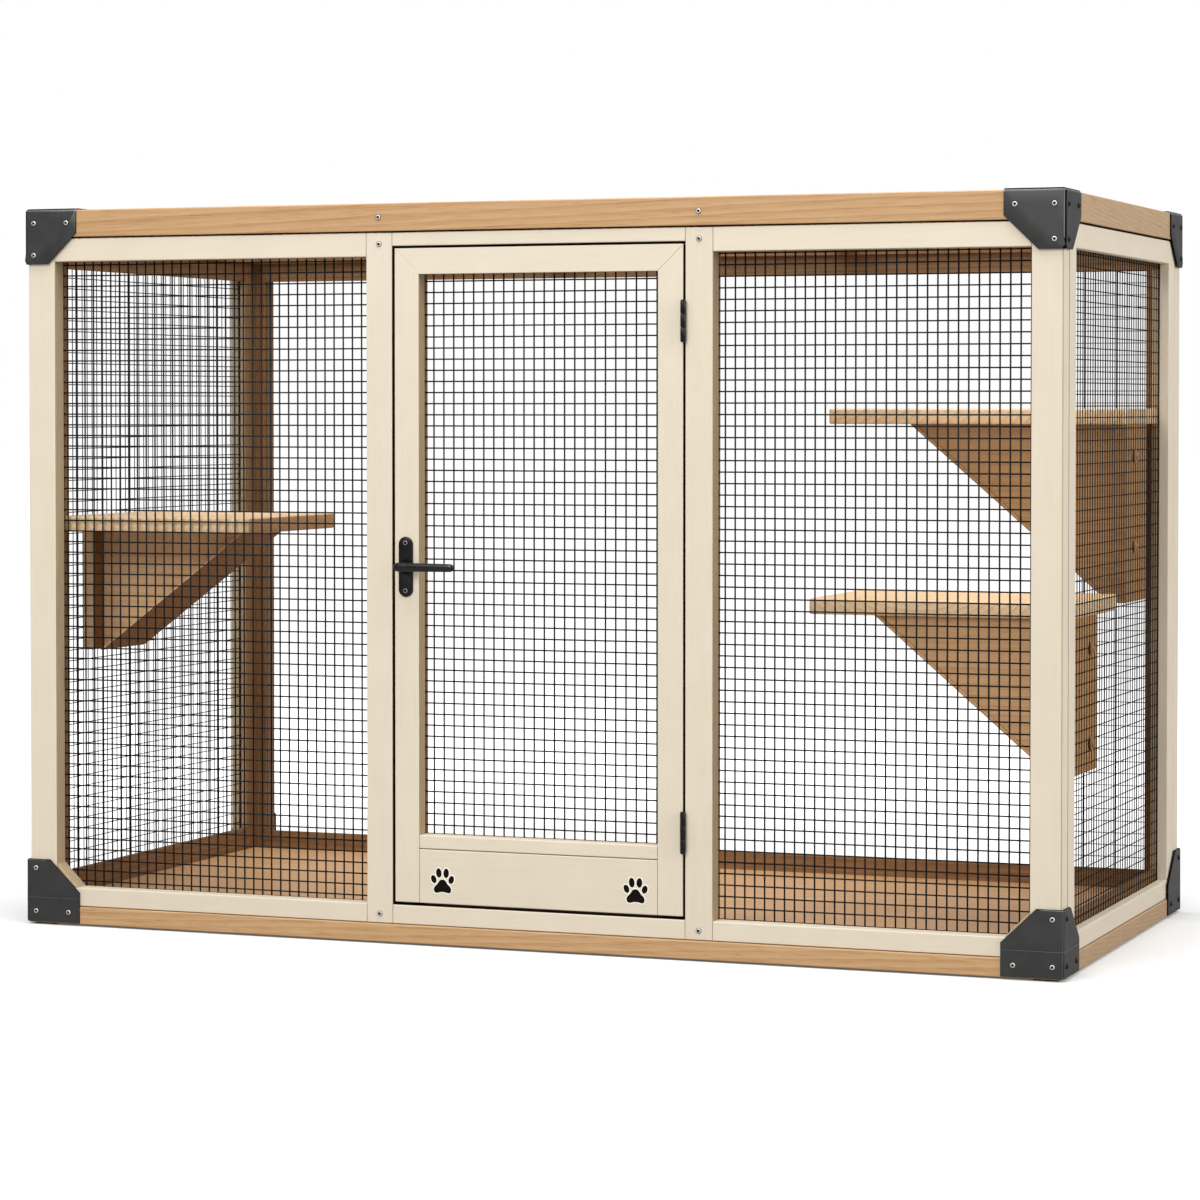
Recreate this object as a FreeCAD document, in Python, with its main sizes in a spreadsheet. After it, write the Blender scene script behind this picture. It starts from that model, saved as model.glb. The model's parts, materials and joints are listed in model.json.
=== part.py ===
import FreeCAD, Part
import math
import os
import re
import Sketcher

# Outdoor cat enclosure: painted timber frames with steel mesh, natural beams and floor, steel corner
# brackets, three shelves and a hinged door with a turn latch.
# Frame: +X to the right along the front, +Y from the front to the back, +Z up, origin on the floor
# under the middle of the frames. All sizes are in millimetres.

Vec = FreeCAD.Vector

SIZES = {
    # the four framed walls
    "frame_w": 1790,            # width over the painted frames
    "frame_d": 840,             # depth over the painted frames
    "frame_h": 1131,            # height of the frames, between base and top beams
    "frame_t": 38,              # thickness of the front and back frames
    "side_t": 30,               # thickness of the two side frames
    "stile_w": 50,              # corner stiles of the front and back frames
    "side_stile_w": 45,         # stiles of the side frames
    "jamb_w": 46,               # the two uprights beside the door
    "left_bay_w": 577,          # mesh bay left of the door
    "door_opening_w": 507,      # clear width between the jambs
    "top_rail_h": 41,
    "bottom_rail_h": 32,
    "header_h": 24,             # rail over the door
    "fit": 0.3,                 # play round boards and mesh sheets that drop into a frame
    # steel mesh, drawn coarser than the real weave
    "net_t": 3,                 # two crossing wires
    "net_wire": 3,
    "net_lap": 12,              # how far a sheet reaches under its battens
    "batten_show": 9,           # back battens, and the upper side ones, past the edge of the opening
    "side_batten_show": 17,     # lower side battens past it
    "net_depth": 30,            # mesh behind the face of the front and back frames
    "side_net_depth": 17,       # mesh behind the face of the side frames
    "door_net_depth": 26,       # mesh behind the face of the door
    "net_pitch": 50,            # drawn spacing in the bays, the sides and the door
    "wide_net_pitch": 80,       # drawn spacing in the back and the roof
    # natural timber above and below the frames
    "overhang": 2.5,            # how far the beams stand proud of the painted faces
    "beam_h": 46,
    "beam_t": 45,
    "rafter_w": 40,
    "ledger_h": 13,
    "ledger_w": 16,
    "base_h": 30,
    "base_t": 60,
    "joist_w": 45,
    "floor_t": 9,
    "pad_h": 3,
    "pad_w": 40,
    "pad_inset": 8,
    # pressed steel corner brackets and the painted blocks behind the lower ones
    "bracket_t": 2.5,
    "top_bracket_w": 98,
    "top_bracket_h": 91,
    "top_bracket_edge": 39,     # straight part of the edge above the diagonal
    "low_bracket_w": 100,
    "low_bracket_h": 106,
    "low_bracket_edge": 52,
    "low_bracket_lift": 2,      # lower edge above the underside of the base beams
    "bracket_foot": 44,         # short straight edge at the end of the diagonal
    "bracket_screw_in": 18,     # screw from the outer corner
    "bracket_screw_out": 80,    # second screw along the beam
    "top_screw_rise": 22,       # first row of screws from the end of an upper bracket
    "top_screw_far": 76,        # last screw from the end of an upper bracket
    "low_screw_rise": 18,
    "low_screw_far": 91,
    "block_leg": 40,
    # wood screws
    "screw_r": 1.8,
    "screw_l": 12,
    "screw_head_r": 4.8,
    "screw_head_h": 2,
    "screw_play": 0.1,
    # door
    "gap_latch": 4.5,           # gaps round the closed door
    "gap_hinge": 3.5,
    "gap_top": 4,
    "gap_bottom": 5,
    "stop_gap": 1,              # closed door to its stops
    "door_stile_w": 43,
    "door_top_rail_h": 42,
    "door_mid_rail_h": 22,
    "kick_h": 88,
    "kick_t": 25,
    "kick_seam": 1,
    "stop_w": 20,
    "stop_t": 10,
    "stop_reach": 12,           # stops beyond the edge of the opening
    # paw prints let into the kick panel
    "paw_depth": 2,
    "paw_play": 0.1,
    "paw_left_x": 84,           # print centres from the latch edge and the hinge edge of the door
    "paw_right_x": 80.1,
    "paw_z": 37,                # print centres above the lower edge of the door
    # hinges
    "hinge_upper_z": 944,       # hinge centres above the lower edge of the door
    "hinge_lower_z": 134,
    "leaf_h": 64,
    "leaf_d": 28,
    "leaf_t": 1.4,
    "knuckle_r": 4.5,
    "knuckle_gap": 0.5,         # between knuckles, and from a knuckle to the other leaf
    "knuckle_off": 5.2,         # hinge axis in front of the door's face
    "pin_r": 2.5,
    "pin_play": 0.05,
    "pin_cap_r": 3.6,
    "pin_cap_h": 1.5,
    # turn latch
    "spindle_in": 20.5,         # spindle from the latch edge of the door
    "spindle_z": 548,           # spindle above the lower edge of the door
    "spindle_r": 4,
    "spindle_play": 0.06,
    "spindle_hole_r": 4.8,
    "plate_w": 25,
    "plate_h": 98,
    "plate_t": 3,
    "plate_screw": 39,          # plate screws above and below the spindle
    "hub_r": 8,
    "hub_l": 12,
    "hub_play": 0.3,
    "lever_l": 92.5,            # spindle to the free end
    "lever_tail": 6.5,          # spindle to the centre of the round tail
    "lever_w": 15,              # width at the tail
    "lever_end_w": 13,
    "lever_t": 9,
    "tongue_l": 54,
    "tongue_w": 16,
    "tongue_t": 4,
    "spacer_r": 8,              # tube between the tongue and the door
    "tongue_clear": 1,          # tongue behind the door stops
    "keeper_w": 20,
    "keeper_h": 44,
    "keeper_clear": 0.5,
    # shelves and their hollow wedges
    "shelf_t": 26,
    "left_shelf_l": 365,
    "left_shelf_d": 340,
    "left_shelf_z": 666,
    "upper_shelf_l": 505,
    "upper_shelf_d": 287,
    "upper_shelf_z": 849,
    "lower_shelf_l": 437,
    "lower_shelf_d": 300,
    "lower_shelf_z": 545,
    "lower_shelf_in": 122,      # front edge of the lower shelf behind the front frame
    "wedge_w": 150,             # width of a wedge along the wall
    "wall_board_t": 20,         # board of a wedge that lies against the mesh
    "slope_t": 8,               # sloping board, measured level
    "cheek_t": 15,
    "left_cheek_inset": 38,     # cheeks behind the edges of the wedge
    "right_cheek_inset": 3,
    "left_wedge_in": 110,       # each wedge behind the front edge of its shelf
    "left_wedge_l": 307,        # sloping board's inner face out from the mesh, at its top and at its foot
    "left_wedge_foot": 32,
    "left_wedge_h": 208,
    "upper_wedge_in": 6,
    "upper_wedge_l": 364,
    "upper_wedge_foot": 21,
    "upper_wedge_h": 296,
    "lower_wedge_in": 9,
    "lower_wedge_l": 321,
    "lower_wedge_foot": 32,
    "lower_wedge_h": 247,
    "bolt_r": 3,
    "bolt_l": 20,
    "bolt_play": 0.1,
    "washer_r": 11,
    "washer_t": 2,
    "bolt_head_r": 6,
    "bolt_head_h": 3,
}

# Shape of one paw print, from its centre: x, z, half width, half height and lean in degrees.
PAW_TOES = ((-15.5, 2.8, 4.7, 6.8, 20), (-6.5, 13.2, 4.9, 7.8, 4), (6.5, 13.2, 4.9, 7.8, -4),
            (15.5, 2.8, 4.7, 6.8, -20))
# The pad's outline goes smoothly through these points, x and z from its top down its right half, and through
# their mirror images.
PAW_PAD = ((0, 2.7), (3.6, 2.0), (6.2, -0.4), (8.2, -3.3), (10.4, -6.0), (12.8, -8.1), (14.7, -10.7),
           (15.4, -14.0), (14.3, -17.4), (11.5, -19.3), (8.4, -19.1), (4.4, -18.0), (0, -17.6))

doc = FreeCAD.newDocument("cat_enclosure")
sheet = doc.addObject("Spreadsheet::Sheet", "Dims")
for row, (alias, number) in enumerate(SIZES.items(), start=1):
    sheet.set(f"A{row}", alias)
    sheet.set(f"B{row}", str(number))
    sheet.setAlias(f"B{row}", alias)
doc.recompute()

nodes = {}


def size(alias):
    """The number in the sheet's cell of that name."""
    return float(sheet.get(alias))


def dims(expression):
    """Point every name in an expression at the sheet."""
    return re.sub(r"\b([a-z][a-z0-9_]*)\b(?!\()", r"Dims.\1", expression)


def node(label, thing):
    """Keep an object as one sub-part of the enclosure, under its file's name."""
    thing.Label = label
    nodes[label] = thing
    return thing


def place(thing, x, y, z):
    """Bind an object's position to the sheet."""
    for axis, expression in zip("xyz", (x, y, z)):
        thing.setExpression(f"Placement.Base.{axis}", dims(expression))


def stick(name, x, y, z):
    """A square-cut board between a low and a high limit along each axis."""
    board = doc.addObject("Part::Box", name)
    for side, (low, high) in zip(("Length", "Width", "Height"), (x, y, z)):
        board.setExpression(side, dims(f"({high}) - ({low})"))
    place(board, x[0], y[0], z[0])
    return board


def slab(name, top, bottom, y, z):
    """A board whose X limits run straight from one pair at its top to another at its bottom."""
    board = doc.addObject("Part::Wedge", name)
    limits = {"Xmin": top[0], "Xmax": top[1], "X2min": bottom[0], "X2max": bottom[1], "Ymin": "0",
              "Ymax": f"({z[1]}) - ({z[0]})", "Zmin": "0", "Z2min": "0",
              "Zmax": f"({y[1]}) - ({y[0]})", "Z2max": f"({y[1]}) - ({y[0]})"}
    for limit, expression in limits.items():
        board.setExpression(limit, dims(expression))
    board.Placement.Rotation = FreeCAD.Rotation(Vec(1, 0, 0), -90)
    place(board, "0", y[0], z[1])
    return board


def rod(name, radius, length, x, y, z, direction):
    """A round bar from a point, along a direction."""
    bar = doc.addObject("Part::Cylinder", name)
    bar.setExpression("Radius", dims(radius))
    bar.setExpression("Height", dims(length))
    bar.Placement.Rotation = FreeCAD.Rotation(Vec(0, 0, 1), Vec(*direction))
    place(bar, x, y, z)
    return bar


def cut(name, base, *tools):
    """An object with others taken out of it, one after another."""
    for number, tool in enumerate(tools):
        result = doc.addObject("Part::Cut", f"{name}_{number}")
        result.Base = base
        result.Tool = tool
        base = result
    return base


def fuse(name, *shapes):
    joined = doc.addObject("Part::MultiFuse", name)
    joined.Shapes = list(shapes)
    joined.Refine = True
    return joined


def group(label, *members):
    """Separate solids that share one node."""
    bundle = doc.addObject("Part::Compound", label)
    bundle.Links = list(members)
    return node(label, bundle)


def mirrored(name, source, *normals):
    """A copy of an object in one or more planes through the origin."""
    for number, normal in enumerate(normals):
        copy = doc.addObject("Part::Mirroring", f"{name}_{number}")
        copy.Source = source
        copy.Normal = Vec(*normal)
        source = copy
    return source


def solid(name, shape):
    """An object whose shape is worked out here from the sheet's numbers."""
    thing = doc.addObject("Part::Feature", name)
    thing.Shape = shape
    return thing


def plane(body, role):
    return next(feature for feature in body.Origin.OriginFeatures if feature.Role == role)


def sketch_on(body, role, name):
    sketch = body.newObject("Sketcher::SketchObject", name)
    sketch.AttachmentSupport = [(plane(body, role), "")]
    sketch.MapMode = "FlatFace"
    return sketch


def pin_point(sketch, geometry, point, u, v):
    """Hold one point of a sketch at two expressions."""
    for kind, expression in (("DistanceX", u), ("DistanceY", v)):
        index = sketch.addConstraint(Sketcher.Constraint(kind, geometry, point, 1.0))
        sketch.setExpression(f"Constraints[{index}]", dims(expression))


def polygon_sketch(body, role, name, corners):
    """A closed sketch of straight sides, each corner held at a pair of expressions."""
    sketch = sketch_on(body, role, name)
    count = len(corners)
    spots = [Vec(10 * math.cos(2 * math.pi * i / count), 10 * math.sin(2 * math.pi * i / count), 0)
             for i in range(count)]
    for i in range(count):
        sketch.addGeometry(Part.LineSegment(spots[i], spots[(i + 1) % count]), False)
    for i in range(count):
        sketch.addConstraint(Sketcher.Constraint("Coincident", i, 2, (i + 1) % count, 1))
    for i, (u, v) in enumerate(corners):
        pin_point(sketch, i, 1, u, v)
    return sketch


def hole_sketch(body, role, name, radius, centres):
    """A sketch of equal circles."""
    sketch = sketch_on(body, role, name)
    for i, (u, v) in enumerate(centres):
        sketch.addGeometry(Part.Circle(Vec(10 * i, 0, 0), Vec(0, 0, 1), 1), False)
        index = sketch.addConstraint(Sketcher.Constraint("Radius", i, 1.0))
        sketch.setExpression(f"Constraints[{index}]", dims(radius))
        pin_point(sketch, i, 3, u, v)
    return sketch


def pad(body, sketch, name, length, reverse):
    feature = body.newObject("PartDesign::Pad", name)
    feature.Profile = sketch
    feature.setExpression("Length", dims(length))
    feature.Reversed = reverse
    return feature


def pocket_through(body, sketch, name, reverse):
    """A pocket right through, which has to take material away."""
    doc.recompute()
    before = body.Shape.Volume
    feature = body.newObject("PartDesign::Pocket", name)
    feature.Profile = sketch
    feature.Type = "ThroughAll"
    feature.Reversed = reverse
    doc.recompute()
    if body.Shape.Volume >= before:
        raise RuntimeError(f"{name} cuts nothing")
    return feature


# Levels and lines that the pieces share, low to high
BASE_TOP = "(pad_h + base_h)"
SILL_TOP = f"({BASE_TOP} + bottom_rail_h)"
FRAME_TOP = f"({BASE_TOP} + frame_h)"
RAIL_LOW = f"({FRAME_TOP} - top_rail_h)"
HEADER_LOW = f"({FRAME_TOP} - header_h)"
ROOF_TOP = f"({FRAME_TOP} + beam_h)"
FLOOR_TOP = f"({BASE_TOP} + floor_t)"

LEFT = "(-frame_w / 2)"
RIGHT = "(frame_w / 2)"
LEFT_BAY = f"({LEFT} + stile_w)"
LATCH_JAMB = f"({LEFT_BAY} + left_bay_w)"
OPENING_LEFT = f"({LATCH_JAMB} + jamb_w)"
OPENING_RIGHT = f"({OPENING_LEFT} + door_opening_w)"
RIGHT_BAY = f"({OPENING_RIGHT} + jamb_w)"
RIGHT_STILE = f"({RIGHT} - stile_w)"
INNER_LEFT = f"({LEFT} + side_t)"
INNER_RIGHT = f"({RIGHT} - side_t)"

FRONT = "(-frame_d / 2)"
BACK = "(frame_d / 2)"
INNER_FRONT = f"({FRONT} + frame_t)"
INNER_BACK = f"({BACK} - frame_t)"
SIDE_BAY = f"({INNER_FRONT} + side_stile_w)"
SIDE_BAY_END = f"({INNER_BACK} - side_stile_w)"

DOOR_LEFT = f"({OPENING_LEFT} + gap_latch)"
DOOR_RIGHT = f"({OPENING_RIGHT} - gap_hinge)"
DOOR_LOW = f"({SILL_TOP} + gap_bottom)"
DOOR_TOP = f"({HEADER_LOW} - gap_top)"
DOOR_BACK = f"({INNER_FRONT} - stop_gap)"
DOOR_BAY_LEFT = f"({DOOR_LEFT} + door_stile_w)"
DOOR_BAY_RIGHT = f"({DOOR_RIGHT} - door_stile_w)"
KICK_TOP = f"({DOOR_LOW} + kick_h)"
DOOR_BAY_LOW = f"({KICK_TOP} + kick_seam + door_mid_rail_h)"
DOOR_BAY_TOP = f"({DOOR_TOP} - door_top_rail_h)"
X_AXIS, Y_AXIS = (1, 0, 0), (0, 1, 0)

FULL_HEIGHT = (BASE_TOP, FRAME_TOP)
LOW_RAIL = (BASE_TOP, SILL_TOP)
TOP_RAIL = (RAIL_LOW, FRAME_TOP)


def wider(limits, by):
    """A pair of limits moved apart."""
    return f"({limits[0]} - {by})", f"({limits[1]} + {by})"


def with_play(limits):
    """A pair of limits moved together by the play round a piece that drops in."""
    return f"({limits[0]} + fit)", f"({limits[1]} - fit)"


def recess(name, x, y, z, across):
    """The rebate behind a mesh opening: its limits grow by the lap except along one axis."""
    limits = [pair if axis == across else wider(pair, "net_lap") for axis, pair in zip("xyz", (x, y, z))]
    return stick(name, *limits)


def mesh_sheet(label, x, y, z, pitch):
    """A flat sheet with a gap in each field of a grid; its lap all round is plain."""
    blank = stick(f"{label}_blank", x, y, z)
    doc.recompute()
    box = blank.Shape.BoundBox
    low = [box.XMin, box.YMin, box.ZMin]
    span = [box.XLength, box.YLength, box.ZLength]
    normal = span.index(min(span))
    u, v = [axis for axis in range(3) if axis != normal]

    def corner(a, b):
        point = list(low)
        point[u], point[v] = a, b
        return Vec(*point)

    def rectangle(u0, u1, v0, v1):
        spots = ((u0, v0), (u1, v0), (u1, v1), (u0, v1), (u0, v0))
        return Part.makePolygon([corner(a, b) for a, b in spots])

    border = size("net_lap")
    half_wire = size("net_wire") / 2
    open_u = span[u] - 2 * border
    open_v = span[v] - 2 * border
    columns = max(1, round(open_u / size(pitch)))
    rows = max(1, round(open_v / size(pitch)))
    step_u = open_u / columns
    step_v = open_v / rows
    wires = [rectangle(low[u], low[u] + span[u], low[v], low[v] + span[v])]
    for i in range(columns):
        for j in range(rows):
            u0 = low[u] + border + i * step_u
            v0 = low[v] + border + j * step_v
            wires.append(rectangle(u0 + half_wire, u0 + step_u - half_wire,
                                   v0 + half_wire, v0 + step_v - half_wire))
    depth = [0, 0, 0]
    depth[normal] = span[normal]
    face = Part.makeFace(wires, "Part::FaceMakerBullseye")
    return node(label, solid(label, face.extrude(Vec(*depth))))


def batten_ring(name, u, v, depth, upright, low_show="0", top_show="0"):
    """Four battens that fill a rebate behind the mesh; u runs along the wall and v up it.

    The low and the top one may stand past the edge of the opening, where they show through the mesh.
    """
    wide_u, wide_v = wider(u, "net_lap"), wider(v, "net_lap")
    edges = (f"({v[0]} + {low_show})", f"({v[1]} - {top_show})")
    pieces = {
        "low": (wide_u, (wide_v[0], edges[0])),
        "top": (wide_u, (edges[1], wide_v[1])),
        "start": ((wide_u[0], u[0]), edges),
        "end": ((u[1], wide_u[1]), edges),
    }
    made = []
    for place_name, (along, up) in pieces.items():
        limits = (along, depth, up) if upright == "x" else (depth, along, up)
        made.append(stick(f"{name}_{place_name}", *limits))
    return made


# Screws: one revolved screw, copied to every place; the timber is drilled for each
screw_body = doc.addObject("PartDesign::Body", "wood_screw")
screw_profile = polygon_sketch(screw_body, "XZ_Plane", "screw_profile", (
    ("0", "-screw_l"), ("screw_r", "-screw_l"), ("screw_r", "0"), ("screw_head_r", "0"),
    ("screw_head_r", "screw_head_h / 3"), ("screw_head_r / 2", "screw_head_h"), ("0", "screw_head_h")))
screw_turn = screw_body.newObject("PartDesign::Revolution", "screw_turn")
screw_turn.Profile = screw_profile
screw_turn.ReferenceAxis = (screw_profile, ["V_Axis"])
screw_turn.Angle = 360
doc.recompute()

outer_x = size("frame_w") / 2 + size("overhang") + size("bracket_t")
outer_y = size("frame_d") / 2 + size("overhang") + size("bracket_t")
base_top = size("pad_h") + size("base_h")
frame_top = base_top + size("frame_h")
roof_top = frame_top + size("beam_h")
low_bracket_z = size("pad_h") + size("low_bracket_lift")


def bracket_screws():
    """Head seat and outward direction of every bracket screw: three on each face of a bracket."""
    near, out = size("bracket_screw_in"), size("bracket_screw_out")
    for kind, level, up in (("top", roof_top, -1), ("low", low_bracket_z, 1)):
        rise, far = size(f"{kind}_screw_rise"), size(f"{kind}_screw_far")
        for run, climb in ((near, rise), (out, rise), (near, far)):
            z = level + up * climb
            for sx in (-1, 1):
                for sy in (-1, 1):
                    yield (sx * (outer_x - run), sy * outer_y, z), (0, sy, 0)
                    yield (sx * outer_x, sy * (outer_y - run), z), (sx, 0, 0)


def jamb_screws():
    """Two screws at the head of each jamb, one of them through the beam, and one at its foot."""
    latch = -size("frame_w") / 2 + size("stile_w") + size("left_bay_w") + size("jamb_w") / 2
    hinge = latch + size("jamb_w") + size("door_opening_w")
    face = -size("frame_d") / 2
    for x in (latch, hinge):
        yield (x, face - size("overhang"), frame_top + size("beam_h") / 2), (0, -1, 0)
        yield (x, face, frame_top - size("top_rail_h") / 2), (0, -1, 0)
        yield (x, face, base_top + size("bottom_rail_h") / 2), (0, -1, 0)


def screws(name, places):
    """Copies of the screw, and the holes they sit in."""
    copies, holes = [], []
    radius = size("screw_r") + size("screw_play")
    length = size("screw_l") + size("screw_play")
    for seat, outward in places:
        turn = FreeCAD.Rotation(Vec(0, 0, 1), Vec(*outward))
        copy = screw_body.Shape.copy()
        copy.Placement = FreeCAD.Placement(Vec(*seat), turn)
        copies.append(copy)
        holes.append(Part.makeCylinder(radius, length, Vec(*seat), Vec(*outward) * -1))
    holes_object = solid(f"{name}_holes", Part.makeCompound(holes))
    return node(name, solid(name, Part.makeCompound(copies))), holes_object


frame_screws, frame_holes = screws("frame_screws", [*bracket_screws(), *jamb_screws()])


# Front frame
LEFT_OPENING = (LEFT_BAY, LATCH_JAMB)
RIGHT_OPENING = (RIGHT_BAY, RIGHT_STILE)
WALL_OPENING = (SILL_TOP, RAIL_LOW)
FRONT_T = (FRONT, INNER_FRONT)
FRONT_REBATE = (f"({FRONT} + net_depth)", INNER_FRONT)
FRONT_NET = (FRONT_REBATE[0], f"({FRONT} + net_depth + net_t)")
FRONT_BATTEN = (FRONT_NET[1], INNER_FRONT)
left_rebate = recess("left_rebate", LEFT_OPENING, FRONT_REBATE, WALL_OPENING, "y")
right_rebate = recess("right_rebate", RIGHT_OPENING, FRONT_REBATE, WALL_OPENING, "y")


def front_piece(name, x, z, *tools):
    return cut(f"{name}_cut", stick(f"{name}_board", x, FRONT_T, z), *tools)


for name, x, rebate in (("front_left_stile", (LEFT, LEFT_BAY), left_rebate),
                        ("front_right_stile", (RIGHT_STILE, RIGHT), right_rebate),
                        ("latch_jamb", (LATCH_JAMB, OPENING_LEFT), left_rebate),
                        ("hinge_jamb", (OPENING_RIGHT, RIGHT_BAY), right_rebate)):
    node(name, front_piece(name, x, FULL_HEIGHT, rebate, frame_holes))
group("front_rails",
      front_piece("front_left_top_rail", LEFT_OPENING, TOP_RAIL, left_rebate),
      front_piece("front_left_low_rail", LEFT_OPENING, LOW_RAIL, left_rebate),
      front_piece("front_right_top_rail", RIGHT_OPENING, TOP_RAIL, right_rebate),
      front_piece("front_right_low_rail", RIGHT_OPENING, LOW_RAIL, right_rebate))
node("door_header", stick("door_header", (OPENING_LEFT, OPENING_RIGHT), FRONT_T, (HEADER_LOW, FRAME_TOP)))
node("door_sill", stick("door_sill", (OPENING_LEFT, OPENING_RIGHT), FRONT_T, LOW_RAIL))
mesh_sheet("front_left_mesh", wider(LEFT_OPENING, "net_lap"), FRONT_NET, wider(WALL_OPENING, "net_lap"),
           "net_pitch")
mesh_sheet("front_right_mesh", wider(RIGHT_OPENING, "net_lap"), FRONT_NET, wider(WALL_OPENING, "net_lap"),
           "net_pitch")
group("front_battens",
      *batten_ring("front_left_batten", LEFT_OPENING, WALL_OPENING, FRONT_BATTEN, "x"),
      *batten_ring("front_right_batten", RIGHT_OPENING, WALL_OPENING, FRONT_BATTEN, "x"))

# Back frame
BACK_OPENING = (LEFT_BAY, RIGHT_STILE)
BACK_T = (INNER_BACK, BACK)
BACK_REBATE = (INNER_BACK, f"({BACK} - net_depth)")
BACK_NET = (f"({BACK} - net_depth - net_t)", BACK_REBATE[1])
BACK_BATTEN = (INNER_BACK, BACK_NET[0])
back_rebate = recess("back_rebate", BACK_OPENING, BACK_REBATE, WALL_OPENING, "y")


def back_piece(name, x, z, *tools):
    return cut(f"{name}_cut", stick(f"{name}_board", x, BACK_T, z), *tools)


group("back_frame",
      back_piece("back_left_stile", (LEFT, LEFT_BAY), FULL_HEIGHT, back_rebate, frame_holes),
      back_piece("back_right_stile", (RIGHT_STILE, RIGHT), FULL_HEIGHT, back_rebate, frame_holes),
      back_piece("back_top_rail", BACK_OPENING, TOP_RAIL, back_rebate),
      back_piece("back_low_rail", BACK_OPENING, LOW_RAIL, back_rebate))
mesh_sheet("back_mesh", wider(BACK_OPENING, "net_lap"), BACK_NET, wider(WALL_OPENING, "net_lap"),
           "wide_net_pitch")
group("back_battens", *batten_ring("back_batten", BACK_OPENING, WALL_OPENING, BACK_BATTEN, "x",
                                   "batten_show", "batten_show"))

# Side frames, which stand between the front and the back frame
SIDE_OPENING = (SIDE_BAY, SIDE_BAY_END)
side_battens = []
for side, outer, inner, sign in (("left", LEFT, INNER_LEFT, "+"), ("right", RIGHT, INNER_RIGHT, "-")):
    net_face = f"({outer} {sign} side_net_depth)"
    net_back = f"({outer} {sign} (side_net_depth + net_t))"
    thick = (outer, inner) if side == "left" else (inner, outer)
    rebate_x = (net_face, inner) if side == "left" else (inner, net_face)
    net_x = (net_face, net_back) if side == "left" else (net_back, net_face)
    batten_x = (net_back, inner) if side == "left" else (inner, net_back)
    side_rebate = recess(f"{side}_side_rebate", rebate_x, SIDE_OPENING, WALL_OPENING, "x")
    boards = {
        "front_stile": ((INNER_FRONT, SIDE_BAY), FULL_HEIGHT),
        "rear_stile": ((SIDE_BAY_END, INNER_BACK), FULL_HEIGHT),
        "top_rail": (SIDE_OPENING, TOP_RAIL),
        "low_rail": (SIDE_OPENING, LOW_RAIL),
    }
    group(f"{side}_side_frame",
          *[cut(f"{side}_{name}_cut", stick(f"{side}_{name}", thick, y, z), side_rebate, frame_holes)
            for name, (y, z) in boards.items()])
    mesh_sheet(f"{side}_side_mesh", net_x, wider(SIDE_OPENING, "net_lap"), wider(WALL_OPENING, "net_lap"),
               "net_pitch")
    side_battens += batten_ring(f"{side}_batten", SIDE_OPENING, WALL_OPENING, batten_x, "y",
                                "side_batten_show", "batten_show")
group("side_battens", *side_battens)

# Top beams, rafters and the mesh roof that lies on ledgers under them
BEAM_LEFT, BEAM_RIGHT = f"({LEFT} - overhang)", f"({RIGHT} + overhang)"
BEAM_FRONT, BEAM_BACK = f"({FRONT} - overhang)", f"({BACK} + overhang)"
BETWEEN_BEAMS = (f"({BEAM_FRONT} + beam_t)", f"({BEAM_BACK} - beam_t)")
BEAM_Z = (FRAME_TOP, ROOF_TOP)
node("front_top_beam", cut("front_top_beam_cut", stick(
    "front_top_beam_board", (BEAM_LEFT, BEAM_RIGHT), (BEAM_FRONT, BETWEEN_BEAMS[0]), BEAM_Z), frame_holes))
node("back_top_beam", cut("back_top_beam_cut", stick(
    "back_top_beam_board", (BEAM_LEFT, BEAM_RIGHT), (BETWEEN_BEAMS[1], BEAM_BACK), BEAM_Z), frame_holes))
SIDE_BEAMS = {"left": (BEAM_LEFT, f"{BEAM_LEFT} + beam_t"), "right": (f"{BEAM_RIGHT} - beam_t", BEAM_RIGHT)}
group("side_top_beams", *[
    cut(f"{side}_top_beam", stick(f"{side}_top_beam_board", x, BETWEEN_BEAMS, BEAM_Z), frame_holes)
    for side, x in SIDE_BEAMS.items()])
JAMB_CENTRES = {"latch": f"({OPENING_LEFT} - jamb_w / 2)", "hinge": f"({OPENING_RIGHT} + jamb_w / 2)"}
group("rafters", *[
    stick(f"{name}_rafter", (f"{x} - rafter_w / 2", f"{x} + rafter_w / 2"), BETWEEN_BEAMS, BEAM_Z)
    for name, x in JAMB_CENTRES.items()])
INSIDE_X, INSIDE_Y = (INNER_LEFT, INNER_RIGHT), (INNER_FRONT, INNER_BACK)
ROOF_NET_Z = (f"({FRAME_TOP} - net_t)", FRAME_TOP)
LEDGER_Z = (f"({ROOF_NET_Z[0]} - ledger_h)", ROOF_NET_Z[0])
LEDGER_Y = (f"({INNER_FRONT} + ledger_w)", f"({INNER_BACK} - ledger_w)")
group("roof_ledgers",
      stick("front_ledger", INSIDE_X, (INNER_FRONT, LEDGER_Y[0]), LEDGER_Z),
      stick("back_ledger", INSIDE_X, (LEDGER_Y[1], INNER_BACK), LEDGER_Z),
      stick("left_ledger", (INNER_LEFT, f"{INNER_LEFT} + ledger_w"), LEDGER_Y, LEDGER_Z),
      stick("right_ledger", (f"{INNER_RIGHT} - ledger_w", INNER_RIGHT), LEDGER_Y, LEDGER_Z))
mesh_sheet("roof_mesh", with_play(INSIDE_X), with_play(INSIDE_Y), ROOF_NET_Z, "wide_net_pitch")

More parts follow.
